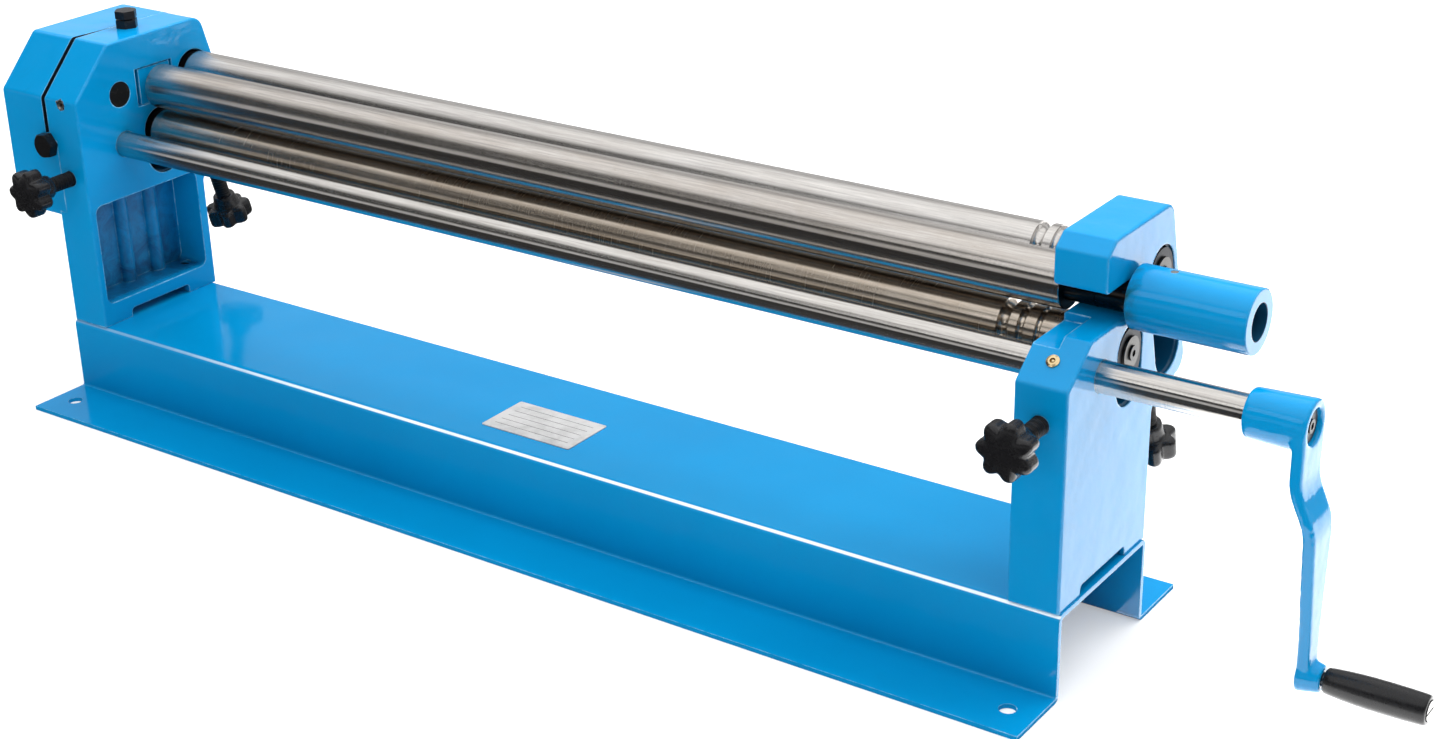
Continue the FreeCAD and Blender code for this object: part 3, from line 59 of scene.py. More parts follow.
def soft_panel(name, place, target, wide, high, watts):
    """Rectangular lamp at place, turned to face target."""
    lamp = bpy.data.lights.new(name, "AREA")
    lamp.shape = "RECTANGLE"
    lamp.size = wide
    lamp.size_y = high
    lamp.energy = watts
    panel = bpy.data.objects.new(name, lamp)
    bpy.context.scene.collection.objects.link(panel)
    panel.location = place
    panel.rotation_euler = (Vector(target) - Vector(place)).to_track_quat("-Z", "Y").to_euler()
    return panel


# Three large panels light the surfaces. What the surfaces mirror of them is painted on the world.
overhead = soft_panel("overhead_panel", (-0.1, 0.6, 2.0), (-0.1, 0.6, 0.0), 6.0, 3.5, 165.0)
rear = soft_panel("rear_panel", (-0.2, 1.65, 2.35), (0.0, 0.0, 0.08), 4.0, 1.0, 88.0)
front = soft_panel("front_panel", (0.7, -2.6, 1.2), (0.2, 0.0, 0.15), 2.0, 1.2, 23.0)
for panel in (overhead, rear, front):
    panel.visible_glossy = False
soft_panel("right_panel", (1.6, 0.95, 0.55), (0.54, 0.0, 0.2), 0.8, 0.8, 2.0)
# Two more are only seen mirrored: a card that lies at the right end, and a highlight at the front.
card = soft_panel("right_card", (1.0, 0.42, 0.003), (1.0, 0.42, 1.0), 0.95, 1.5, 17.0)
highlight = soft_panel("highlight_panel", (-0.12, -1.55, 1.37), (0.6, 0.0, 0.3), 0.8, 0.55, 2.6)
for panel in (card, highlight):
    panel.visible_camera = False
    panel.visible_diffuse = False


def new_node(tree, kind, **settings):
    """Shader node with the given settings."""
    made = tree.nodes.new(kind)
    for key, value in settings.items():
        setattr(made, key, value)
    return made


def feed(tree, value, socket):
    """Give the socket a number or a vector, or link it to another socket."""
    if isinstance(value, (int, float, tuple)):
        socket.default_value = value
    else:
        tree.links.new(value, socket)


def levels(tree, value, low, high, to_low=0.0, to_high=1.0):
    """Value spread from low..high to to_low..to_high and held there."""
    spread = tree.nodes.new("ShaderNodeMapRange")
    spread.inputs["From Min"].default_value = low
    spread.inputs["From Max"].default_value = high
    spread.inputs["To Min"].default_value = to_low
    spread.inputs["To Max"].default_value = to_high
    tree.links.new(value, spread.inputs["Value"])
    return spread.outputs["Result"]


def choose(tree, share, low, high):
    """Number between low and high by share; low and high are numbers or sockets."""
    mix = tree.nodes.new("ShaderNodeMix")
    tree.links.new(share, mix.inputs["Factor"])
    feed(tree, low, mix.inputs["A"])
    feed(tree, high, mix.inputs["B"])
    return mix.outputs["Result"]


def axes(tree, where):
    """X, Y and Z of a vector."""
    split = tree.nodes.new("ShaderNodeSeparateXYZ")
    tree.links.new(where, split.inputs[0])
    return split.outputs["X"], split.outputs["Y"], split.outputs["Z"]


# The world is white to the camera and a plain fill light to matt surfaces. What is mirrored
# is a room: low walls that darken upwards, and above them the glow of the panels. The limits
# are the height and the depth of the direction in which a surface looks.
panel_glow = 1.75
fill_light = 0.25
world = bpy.data.worlds.new("studio")
bpy.context.scene.world = world
world.use_nodes = True
sky = world.node_tree
sky.nodes.clear()
ray = new_node(sky, "ShaderNodeLightPath")
_, back, up = axes(sky, new_node(sky, "ShaderNodeTexCoord").outputs["Generated"])
low_rear = levels(sky, up, 0.24, 0.44, 0.95, 0.52)
rear_wall = choose(sky, levels(sky, up, 0.54, 0.66), low_rear, panel_glow)
low_front = levels(sky, up, 0.15, 0.26, 0.80, 0.07)
front_wall = choose(sky, levels(sky, up, 0.63, 0.74), low_front, panel_glow)
walls = choose(sky, levels(sky, back, -0.2, 0.15), front_wall, rear_wall)
room = choose(sky, ray.outputs["Is Glossy Ray"], fill_light, walls)
room = choose(sky, ray.outputs["Is Camera Ray"], room, 1.0)
wall = new_node(sky, "ShaderNodeBackground")
sky.links.new(room, wall.inputs["Strength"])
sky.links.new(wall.outputs[0], new_node(sky, "ShaderNodeOutputWorld").inputs["Surface"])

# The board is lifted to white for the camera by a share of plain glow, which leaves the shadow
# soft, and it is mirrored as dim at the front and brighter towards the rear.
floor_half = 9.0
board_white = (0.93, 0.93, 0.93, 1.0)
white_share = 0.36
board = bpy.data.meshes.new("floor")
board.from_pydata([(-floor_half, -floor_half, 0), (floor_half, -floor_half, 0),
                   (floor_half, floor_half, 0), (-floor_half, floor_half, 0)], [], [(0, 1, 2, 3)])
floor = bpy.data.objects.new("floor", board)
bpy.context.scene.collection.objects.link(floor)
paper = bpy.data.materials.new("white_board")
paper.use_nodes = True
sheet = paper.node_tree
matt = sheet.nodes["Principled BSDF"]
matt.inputs["Base Color"].default_value = board_white
matt.inputs["Roughness"].default_value = 0.9
ray = new_node(sheet, "ShaderNodeLightPath")
_, back, _ = axes(sheet, new_node(sheet, "ShaderNodeTexCoord").outputs["Object"])
far_glow = levels(sheet, back, -0.25, 0.5, 0.05, 0.30)
glow = new_node(sheet, "ShaderNodeEmission")
sheet.links.new(choose(sheet, ray.outputs["Is Camera Ray"], far_glow, 1.0), glow.inputs["Strength"])
share = choose(sheet, ray.outputs["Is Camera Ray"], ray.outputs["Is Glossy Ray"], white_share)
blend = new_node(sheet, "ShaderNodeMixShader")
sheet.links.new(share, blend.inputs[0])
sheet.links.new(matt.outputs[0], blend.inputs[1])
sheet.links.new(glow.outputs[0], blend.inputs[2])
sheet.links.new(blend.outputs[0], sheet.nodes["Material Output"].inputs["Surface"])
board.materials.append(paper)

# Base: one 4 mm steel sheet folded to a hat section, with four bench holes in its flanges.
# It is sprayed with a thick, glossy light blue enamel, with a pale painted highlight along the upper
# front fold.


def new_finish(name):
    """Material with its node tree and main shader."""
    mat = bpy.data.materials.new(name)
    mat.use_nodes = True
    tree = mat.node_tree
    return mat, tree, tree.nodes["Principled BSDF"]


def own_place(tree, stretch=(1.0, 1.0, 1.0)):
    """Object coordinates, stretched along each axis."""
    place = tree.nodes.new("ShaderNodeTexCoord")
    mapping = tree.nodes.new("ShaderNodeMapping")
    mapping.inputs["Scale"].default_value = stretch
    tree.links.new(place.outputs["Object"], mapping.inputs["Vector"])
    return mapping.outputs["Vector"]


def grain(tree, where, scale, detail=3.0, rough=0.5, twist=0.0):
    """Cloudy pattern, in grains per metre."""
    noise = tree.nodes.new("ShaderNodeTexNoise")
    noise.inputs["Scale"].default_value = scale
    noise.inputs["Detail"].default_value = detail
    noise.inputs["Roughness"].default_value = rough
    noise.inputs["Distortion"].default_value = twist
    tree.links.new(where, noise.inputs["Vector"])
    return noise.outputs["Fac"]


def blend_colour(tree, share, under, over):
    """Colour between under and over by share; each is a colour or a socket."""
    mix = tree.nodes.new("ShaderNodeMix")
    mix.data_type = "RGBA"
    tree.links.new(share, mix.inputs["Factor"])
    for socket, colour in ((mix.inputs["A"], under), (mix.inputs["B"], over)):
        feed(tree, (*colour, 1.0) if isinstance(colour, tuple) else colour, socket)
    return mix.outputs["Result"]


def merge(tree, a, b, how="MULTIPLY"):
    """Two values joined by one step of sums; each is a number or a socket."""
    step = tree.nodes.new("ShaderNodeMath")
    step.operation = how
    feed(tree, a, step.inputs[0])
    feed(tree, b, step.inputs[1])
    return step.outputs[0]


def fade(tree, value, low, high):
    """Mask that is 1 up to low and 0 from high."""
    return levels(tree, value, low, high, 1.0, 0.0)


def relief(tree, shader, heights, last=None):
    """Bumps from (height socket, depth in metres) pairs, laid on one another and on a normal."""
    for height, depth in heights:
        bump = tree.nodes.new("ShaderNodeBump")
        bump.inputs["Strength"].default_value = 1.0
        bump.inputs["Distance"].default_value = depth
        tree.links.new(height, bump.inputs["Height"])
        if last is not None:
            tree.links.new(last, bump.inputs["Normal"])
        last = bump.outputs["Normal"]
    tree.links.new(last, shader.inputs["Normal"])


def dot(tree, one, two):
    """Dot product of two vectors; two may be a tuple."""
    step = new_node(tree, "ShaderNodeVectorMath", operation="DOT_PRODUCT")
    tree.links.new(one, step.inputs[0])
    feed(tree, two, step.inputs[1])
    return step.outputs["Value"]


def soft_edge(tree, radius):
    """Normal rounded over sharp edges, and a mask that is 1 right on those edges."""
    bevel = new_node(tree, "ShaderNodeBevel", samples=5)
    bevel.inputs["Radius"].default_value = radius
    flat = tree.nodes.new("ShaderNodeNewGeometry")
    turn = dot(tree, bevel.outputs["Normal"], flat.outputs["True Normal"])
    return bevel.outputs["Normal"], fade(tree, turn, 0.90, 0.985)


enamel_deep = (0.0004, 0.208, 0.462)
enamel_light = (0.0006, 0.230, 0.500)
enamel_speck = (0.003, 0.12, 0.33)
# edge colour: partly worn enamel, partly a painted highlight
wear_and_edge_highlight = (0.36, 0.72, 0.90)
# painted highlight along the front fold
fold_highlight_white = (0.82, 0.92, 0.96)
workshop_grime = (0.01, 0.05, 0.09)
paint_ior = 1.34


def blue_enamel(name, swell, swell_depth, grit, grit_depth, dirt, edge=0.0012, extra=None):
    """Light blue gloss enamel. swell and grit are waves per metre, with their depths in metres,
    dirt is the share of grime, edge is the radius of the soft edges (0 for none), which are
    painted lighter as wear and as a painted highlight, and extra changes the colour and the shine
    for one piece."""
    mat, tree, face = new_finish(name)
    here = own_place(tree)
    cloud = levels(tree, grain(tree, here, 5.0), 0.35, 0.7)
    tone = blend_colour(tree, cloud, enamel_deep, enamel_light)
    specks = levels(tree, grain(tree, here, 260.0, 4.0, 0.65), 0.64, 0.78)
    tone = blend_colour(tree, merge(tree, specks, 0.3), tone, enamel_speck)
    grime = levels(tree, grain(tree, here, 23.0, 6.0, 0.7, 0.6), 0.6, 0.85, 0.0, dirt)
    tone = blend_colour(tree, grime, tone, workshop_grime)
    shine = levels(tree, grain(tree, here, 60.0, 4.0, 0.6), 0.4, 0.75, 0.09, 0.17)
    normal = None
    if edge:
        # Sharp edges are painted lighter, partly as worn enamel and partly as a painted highlight.
        normal, rim = soft_edge(tree, edge)
        wear_and_highlight_patch = levels(tree, grain(tree, here, 75.0, 5.0, 0.7), 0.38, 0.66)
        tone = blend_colour(tree, merge(tree, merge(tree, rim, wear_and_highlight_patch), 0.9), tone, wear_and_edge_highlight)
    if extra is not None:
        tone, shine = extra(tree, face, here, tone, shine)
    tree.links.new(tone, face.inputs["Base Color"])
    tree.links.new(shine, face.inputs["Roughness"])
    face.inputs["IOR"].default_value = paint_ior
    heights = [(grain(tree, here, swell, 2.0), swell_depth), (grain(tree, here, grit), grit_depth)]
    relief(tree, face, heights, normal)
    return mat


def dress(names, mat):
    """Give the listed CAD nodes this finish."""
    for name in names:
        piece = node[name]
        piece.data.materials.clear()
        piece.data.materials.append(mat)


def fold_highlight(tree, face, here, tone, shine):
    """Painted highlight, pale along the front upper fold, more so towards the crank."""
    crest = levels(tree, dot(tree, here, (0.0, -1.0, 1.0)), 0.14515, 0.1454)
    x, _, _ = axes(tree, here)
    fold = merge(tree, crest, levels(tree, x, -0.42, -0.20, 0.2, 1.0))
    patch = levels(tree, grain(tree, here, 9.0, 4.0, 0.7), 0.30, 0.50, 0.7, 1.0)
    # The fold line is painted pale as a highlight.
    return blend_colour(tree, merge(tree, fold, patch), tone, fold_highlight_white), shine


sheet_enamel = blue_enamel("enamel_on_sheet", 14.0, 0.0006, 420.0, 0.000012, 0.05, 0.0008, fold_highlight)
dress(["base_channel"], sheet_enamel)

# Side castings and gear cover: grey iron, sand cast, with the working faces milled flat.
# The same enamel lies over a slightly rippled iron skin. The pockets carry painted shade and
# grime, darker towards their floors, the slot walls and the seam behind the cover are painted
# in shade, and the paint is chipped round the oil hole.

roll_y = 0.028
upper_roll_z = 0.2975
rear_tilt = math.radians(15.0)
rear_slot_offset = 0.15247
oil_hole_mouth = (-0.52175, -0.073, 0.2998)
# painted shade with grime in the pockets
pocket_shade_and_grime = (0.004, 0.058, 0.150)
# painted shade on the walls of the slots
slot_shade = (0.002, 0.018, 0.042)
# painted shade inside the cover, behind the seam
seam_shade = (0.006, 0.007, 0.009)
bare_iron = (0.42, 0.45, 0.46)


def near(tree, where, point, reach, ragged):
    """Mask that is 1 within reach of a point, with a ragged rim."""
    gap = new_node(tree, "ShaderNodeVectorMath", operation="DISTANCE")
    tree.links.new(where, gap.inputs[0])
    gap.inputs[1].default_value = point
    torn = merge(tree, grain(tree, where, 420.0, 2.0), ragged)
    far = merge(tree, gap.outputs["Value"], torn, "ADD")
    return fade(tree, far, reach - 0.0003, reach + 0.0003)


def every(tree, first, *others):
    """Mask where all the given masks hold."""
    for mask in others:
        first = merge(tree, first, mask)
    return first


def away_from(tree, value, middle):
    """Distance of a value from its middle, to either side."""
    return merge(tree, merge(tree, value, -middle, "ADD"), 1.0, "ABSOLUTE")


def iron_skin(tree, face, here, tone, shine):
    """Painted shade in pockets (with grime), slots and the seam at the cover; chipped paint at the oil
    hole.
    """
    x, y, z = axes(tree, here)
    across = merge(tree, x, 1.0, "ABSOLUTE")
    past_rim = levels(tree, across, 0.502, 0.512)
    under_top = fade(tree, z, 0.1955, 0.1985)
    before_rear_wall = fade(tree, y, 0.0600, 0.0645)
    behind_front_wall = levels(tree, y, -0.0665, -0.0620)
    short_of_outside = fade(tree, across, 0.5395, 0.5405)
    pocket = every(tree, past_rim, under_top, before_rear_wall, behind_front_wall, short_of_outside)
    # The pockets are painted darker: painted shade mixed with patchy grime, deepest near the floor.
    patch = levels(tree, grain(tree, here, 48.0, 6.0, 0.75, 0.8), 0.38, 0.72, 0.15, 0.85)
    deeper_near_floor = levels(tree, z, 0.100, 0.150, 0.35, 0.0)
    shade_and_grime = merge(tree, pocket, merge(tree, patch, deeper_near_floor, "ADD"))
    tone = blend_colour(tree, shade_and_grime, tone, pocket_shade_and_grime)

    # The walls of the slots are painted dark as shade.
    along_tilt = dot(tree, here, (0.0, math.cos(rear_tilt), math.sin(rear_tilt)))
    tilted = fade(tree, away_from(tree, along_tilt, rear_slot_offset), 0.0214, 0.0217)
    rear_slot = every(tree, tilted, levels(tree, z, 0.199, 0.203), fade(tree, z, 0.3240, 0.3245))
    upright = fade(tree, away_from(tree, y, roll_y), 0.0214, 0.0217)
    lower_slot = every(tree, upright, fade(tree, z, 0.2735, 0.2740), levels(tree, z, 0.205, 0.207))
    slots = merge(tree, rear_slot, lower_slot, "MAXIMUM")
    in_the_wall = [fade(tree, across, 0.5425, 0.5433), levels(tree, across, 0.5005, 0.5010)]
    slots = every(tree, slots, *in_the_wall)
    tone = blend_colour(tree, merge(tree, slots, 0.88), tone, slot_shade)

    # Faces inside the cover behind the seam are painted near black as shade.
    facing = tree.nodes.new("ShaderNodeTexCoord")
    inward = levels(tree, dot(tree, facing.outputs["Normal"], (1.0, 0.0, 0.0)), 0.6, 0.8)
    seam = merge(tree, inward, fade(tree, x, -0.5438, -0.5435))
    tone = blend_colour(tree, seam, tone, seam_shade)

    chip = near(tree, here, oil_hole_mouth, 0.0078, 0.0045)
    tone = blend_colour(tree, chip, tone, bare_iron)
    tree.links.new(chip, face.inputs["Metallic"])
    return tone, choose(tree, merge(tree, pocket, seam, "MAXIMUM"), shine, 0.34)


cast_enamel = blue_enamel("enamel_on_iron", 42.0, 0.0005, 300.0, 0.00005, 0.22, 0.0019, iron_skin)
dress(["left_frame", "right_frame", "gear_cover", "swivel_block"], cast_enamel)

# Rolls: three bars of bright steel, turned and then ground round, with fine rings of grinding
# marks and a few stains of dried oil. The wire grooves are turned in at the right end, where
# the journals beyond the rolls' faces are blackened.

roll_face_x = 0.4926
oil_spot = (0.20, 0.15, 0.11)
journal_black = (0.036, 0.032, 0.030)
journal_rub = (0.10, 0.080, 0.066)


def shaded(tone, share):
    """Colour made darker or lighter, at most white."""
    return tuple(min(1.0, part * share) for part in tone)


def ground_steel(name, tone, stain_tone, stain, rough, black_from=None):
    """Bright ground bar along X with rings of fine marks, blackened past black_from metres."""
    mat, tree, face = new_finish(name)
    ring_marks = grain(tree, own_place(tree, (1.0, 0.02, 0.02)), 1400.0, 3.0, 0.6)
    along = own_place(tree, (0.035, 1.0, 1.0))
    streaks = levels(tree, grain(tree, along, 520.0, 4.0, 0.65), 0.32, 0.70)
    colour = blend_colour(tree, streaks, shaded(tone, 0.80), shaded(tone, 1.08))
    cloud = grain(tree, own_place(tree, (0.22, 1.0, 1.0)), 42.0, 6.0, 0.7, 0.3)
    old_oil = levels(tree, cloud, 0.40, 0.74, 0.0, stain)
    colour = blend_colour(tree, old_oil, colour, stain_tone)
    drops = grain(tree, own_place(tree, (0.6, 1.0, 1.0)), 300.0, 4.0, 0.6)
    colour = blend_colour(tree, levels(tree, drops, 0.69, 0.78, 0.0, 0.3), colour, oil_spot)
    dull = levels(tree, ring_marks, 0.25, 0.75, rough - 0.03, rough + 0.05)
    dull = merge(tree, dull, merge(tree, old_oil, 0.05), "ADD")
    if black_from is not None:
        x, _, _ = axes(tree, own_place(tree))
        past = levels(tree, x, black_from, black_from + 0.0003)
        rub = levels(tree, grain(tree, own_place(tree, (0.3, 1.0, 1.0)), 120.0, 4.0, 0.7), 0.5, 0.8)
        colour = blend_colour(tree, past, colour, blend_colour(tree, rub, journal_black, journal_rub))
        dull = merge(tree, dull, merge(tree, past, 0.12), "ADD")
    tree.links.new(colour, face.inputs["Base Color"])
    tree.links.new(dull, face.inputs["Roughness"])
    face.inputs["Metallic"].default_value = 1.0
    face.inputs["Anisotropic"].default_value = 1.0
    face.inputs["Anisotropic Rotation"].default_value = 0.25
    lie = new_node(tree, "ShaderNodeTangent", direction_type="RADIAL", axis="X")
    tree.links.new(lie.outputs[0], face.inputs["Tangent"])
    relief(tree, face, [(ring_marks, 0.00000005), (streaks, 0.000001)])
    return mat


upper_steel = ground_steel("ground_upper_roll", (0.56, 0.53, 0.50), (0.40, 0.34, 0.28), 0.4, 0.19,
                           roll_face_x)
dress(["upper_roll"], upper_steel)
lower_steel = ground_steel("ground_lower_roll", (0.57, 0.51, 0.44), (0.36, 0.28, 0.20), 0.7, 0.22,
                           roll_face_x)
dress(["lower_roll"], lower_steel)
rear_steel = ground_steel("ground_rear_roll", (0.62, 0.60, 0.58), (0.45, 0.40, 0.35), 0.3, 0.2,
                          roll_face_x)
dress(["rear_roll"], rear_steel)

# Drive shaft: bright drawn bar that carries the pinion at the left and the crank at the right.
# It runs through both castings in front of the rolls and is left bare, with a thin oil film.

shaft_steel = ground_steel("drawn_shaft", (0.62, 0.60, 0.575), (0.44, 0.40, 0.35), 0.35, 0.18)
dress(["drive_shaft"], shaft_steel)

# Gears, keys, spacer and ring: cut steel, left bare and oiled, under the cover and in the crank.
# The plug of the oil hole and the cross pin of the lift handle are of the same steel, and the
# washers of the bolts, the crank and the roll ends are stamped from darker rolled sheet.


def cut_steel(name, tone, rough):
    """Machined steel with fine tool marks and an oil film."""
    mat, tree, face = new_finish(name)
    marks = grain(tree, own_place(tree, (0.1, 1.0, 1.0)), 900.0, 3.0, 0.6)
    film = levels(tree, grain(tree, own_place(tree), 60.0, 4.0, 0.6), 0.4, 0.7)
    tree.links.new(blend_colour(tree, film, tone, shaded(tone, 0.72)), face.inputs["Base Color"])
    face.inputs["Metallic"].default_value = 1.0
    tree.links.new(levels(tree, marks, 0.3, 0.7, rough - 0.06, rough + 0.1), face.inputs["Roughness"])
    relief(tree, face, [(marks, 0.00002)])
    return mat


gear_steel = cut_steel("cut_gear_steel", (0.46, 0.45, 0.43), 0.32)
dress(["idler_gear", "drive_pinion", "upper_gear", "lower_gear", "shaft_keys", "upper_key", "lower_key",
       "idler_spacer", "idler_clip", "pinion_washer", "upper_gear_washer", "lower_gear_washer",
       "handle_pin", "oil_plug"], gear_steel)
washer_steel = cut_steel("rolled_washer_steel", (0.075, 0.073, 0.070), 0.42)
dress(["frame_washers", "crank_washer", "lower_end_washer", "rear_end_washer"], washer_steel)

# Bearing blocks: four iron blocks that carry the lower and the rear roll and slide in the slots
# of the side castings. They are milled all over, left bare and dark with old oil.

iron = cut_steel("milled_iron", (0.022, 0.024, 0.028), 0.5)
dress(["lower_block_left", "lower_block_right", "rear_block_left", "rear_block_right"], iron)

# Sleeves of the lower roll: two rings turned from bronze.
# They sit in the lower blocks, and the ends of the roll run in them.

bronze = cut_steel("turned_bronze", (0.55, 0.33, 0.13), 0.3)
dress(["lower_bushes"], bronze)

# Bolts and screws: steel with a black oil finish that shines a little where tools have rubbed
# it. They hold the castings, the cover and what is fixed on the ends of the shafts and rolls,
# and the idler gear and the swivel block turn on two of them.


def black_oxide(name, rough):
    """Blackened steel with faint brown rubs."""
    mat, tree, face = new_finish(name)
    here = own_place(tree)
    rub = levels(tree, grain(tree, here, 170.0, 4.0, 0.7), 0.58, 0.8)
    colour = blend_colour(tree, rub, (0.012, 0.012, 0.013), (0.075, 0.066, 0.058))
    tree.links.new(colour, face.inputs["Base Color"])
    face.inputs["Metallic"].default_value = 0.55
    tree.links.new(levels(tree, grain(tree, here, 600.0), 0.3, 0.7, rough - 0.06, rough + 0.1),
                   face.inputs["Roughness"])
    relief(tree, face, [(grain(tree, here, 900.0, 2.0), 0.00001)])
    return mat


black_bolts = black_oxide("black_oiled_steel", 0.34)
dress(["cover_bolt", "cover_screws", "frame_bolts", "idler_pin", "pivot_bolt", "pivot_nut", "pinion_screw",
       "upper_gear_screw", "lower_gear_screw", "crank_screw", "lower_end_screw", "rear_end_screw"],
      black_bolts)

# Adjusting screws: black 15 mm screws with a rolled 2 mm thread. The front pair has a cone
# point that wedges the lower roll's blocks up, and the rear pair pushes the rear blocks.

screw_radius = 0.0075
thread_pitch = 0.002
thread_depth = 0.0011
screw_x = 0.52175
front_screw_z = 0.226
front_screw_start_y = -0.1257
front_bar_length = 0.1410
front_point_at = 0.1437
front_knob_face_y = -0.132
# The rear screws lie on a tilted line; their places are distances down it from the roll's axis.
rear_screw_start = 0.0262
rear_bar_length = 0.1494
rear_knob_face = 0.182
rear_line = Vector((0.0, 0.078, 0.298))
down_rear = Vector((0.0, math.sin(rear_tilt), -math.cos(rear_tilt)))
sides = (("left", -1.0), ("right", 1.0))


def growth_tree(name, sizes):
    """Geometry node group that takes the given sizes and a finish, with its inputs and its end."""
    tree = bpy.data.node_groups.new(name, "GeometryNodeTree")
    for title, value in sizes.items():
        socket = tree.interface.new_socket(title, in_out="INPUT", socket_type="NodeSocketFloat")
        socket.default_value = value
    tree.interface.new_socket("Finish", in_out="INPUT", socket_type="NodeSocketMaterial")
    tree.interface.new_socket("Geometry", in_out="OUTPUT", socket_type="NodeSocketGeometry")
    return tree, tree.nodes.new("NodeGroupInput").outputs, tree.nodes.new("NodeGroupOutput")


def hand_out(tree, shape, given, end):
    """Make the shape real, give it the finish and lead it to the group's end."""
    real = tree.nodes.new("GeometryNodeRealizeInstances")
    coat = tree.nodes.new("GeometryNodeSetMaterial")
    tree.links.new(shape, real.inputs[0])
    tree.links.new(real.outputs[0], coat.inputs["Geometry"])
    tree.links.new(given["Finish"], coat.inputs["Material"])
    tree.links.new(coat.outputs[0], end.inputs[0])


def thread_tree():
    """Bar along +Z with a helical ridge wound on it."""
    tree, given, end = growth_tree("rolled_thread", {"Length": 0.15, "Radius": screw_radius,
                                                     "Pitch": thread_pitch, "Depth": thread_depth})
    add = tree.nodes.new
    root = merge(tree, given["Radius"], given["Depth"], "SUBTRACT")
    helix = add("GeometryNodeCurveSpiral")
    helix.inputs["Resolution"].default_value = 24
    tree.links.new(merge(tree, given["Length"], given["Pitch"], "DIVIDE"), helix.inputs["Rotations"])
    middle = merge(tree, root, merge(tree, given["Depth"], 0.28), "ADD")
    tree.links.new(middle, helix.inputs["Start Radius"])
    tree.links.new(middle, helix.inputs["End Radius"])
    tree.links.new(given["Length"], helix.inputs["Height"])
    ridge = add("GeometryNodeCurvePrimitiveCircle")
    ridge.inputs["Resolution"].default_value = 6
    tree.links.new(merge(tree, given["Depth"], 0.72), ridge.inputs["Radius"])
    wound = add("GeometryNodeCurveToMesh")
    tree.links.new(helix.outputs["Curve"], wound.inputs["Curve"])
    tree.links.new(ridge.outputs["Curve"], wound.inputs["Profile Curve"])
    wound.inputs["Fill Caps"].default_value = True
    core = add("GeometryNodeMeshCylinder")
    core.inputs["Vertices"].default_value = 40
    tree.links.new(merge(tree, root, 0.00012, "ADD"), core.inputs["Radius"])
    tree.links.new(given["Length"], core.inputs["Depth"])
    lift = add("GeometryNodeTransform")
    rise = add("ShaderNodeCombineXYZ")
    tree.links.new(merge(tree, given["Length"], 0.5), rise.inputs["Z"])
    tree.links.new(rise.outputs[0], lift.inputs["Translation"])
    tree.links.new(core.outputs["Mesh"], lift.inputs["Geometry"])
    both = add("GeometryNodeJoinGeometry")
    tree.links.new(lift.outputs[0], both.inputs[0])
    tree.links.new(wound.outputs[0], both.inputs[0])
    hand_out(tree, both.outputs[0], given, end)
    return tree


def grown_mesh(tree, values):
    """Plain mesh made by a node group with the given inputs."""
    seed = bpy.data.objects.new("seed", bpy.data.meshes.new("seed"))
    bpy.context.scene.collection.objects.link(seed)
    step = seed.modifiers.new("grow", "NODES")
    step.node_group = tree
    for item in tree.interface.items_tree:
        if item.item_type == "SOCKET" and item.in_out == "INPUT" and item.name in values:
            step[item.identifier] = values[item.name]
    graph = bpy.context.evaluated_depsgraph_get()
    mesh = bpy.data.meshes.new_from_object(seed.evaluated_get(graph))
    bpy.data.objects.remove(seed)
    return mesh


def set_in_place(name, mesh, mat, smooth_angle=None):
    """Object for a mesh whose points are already in the machine's frame."""
    mesh.materials.clear()
    mesh.materials.append(mat)
    piece = bpy.data.objects.new(name, mesh)
    bpy.context.scene.collection.objects.link(piece)
    for face in mesh.polygons:
        face.use_smooth = True
    if smooth_angle is not None:
        mesh.set_sharp_from_angle(angle=math.radians(smooth_angle))
    return piece


def stand_on(mesh, base, direction):
    """Move a mesh made along +Z onto base, pointing along direction."""
    turn = Vector(direction).to_track_quat("Z", "Y").to_matrix().to_4x4()
    mesh.transform(Matrix.Translation(Vector(base)) @ turn)


def ring_at(shape, radius, height, count):
    """Points on a circle about Z, or one point where the radius is nothing."""
    if radius < 1e-7:
        return [shape.verts.new((0.0, 0.0, height))]
    return [shape.verts.new((radius * math.cos(2 * math.pi * i / count),
                             radius * math.sin(2 * math.pi * i / count), height)) for i in range(count)]


def skinned(name, shape, rows, count):
    """Mesh closed over rows of count points; a row may be one point."""
    for low, high in zip(rows, rows[1:]):
        for i in range(count):
            j = (i + 1) % count
            if len(low) == 1 and len(high) > 1:
                shape.faces.new((low[0], high[i], high[j]))
            elif len(high) == 1 and len(low) > 1:
                shape.faces.new((low[i], high[0], low[j]))
            elif len(low) > 1:
                shape.faces.new((low[i], high[i], high[j], low[j]))
    bmesh.ops.recalc_face_normals(shape, faces=shape.faces)
    mesh = bpy.data.meshes.new(name)
    shape.to_mesh(mesh)
    shape.free()
    return mesh


def turned(profile, count):
    """Mesh turned about Z from (radius, height) points, closed at the ends."""
    shape = bmesh.new()
    rows = [ring_at(shape, radius, height, count) for radius, height in profile]
    return skinned("turned", shape, rows, count)


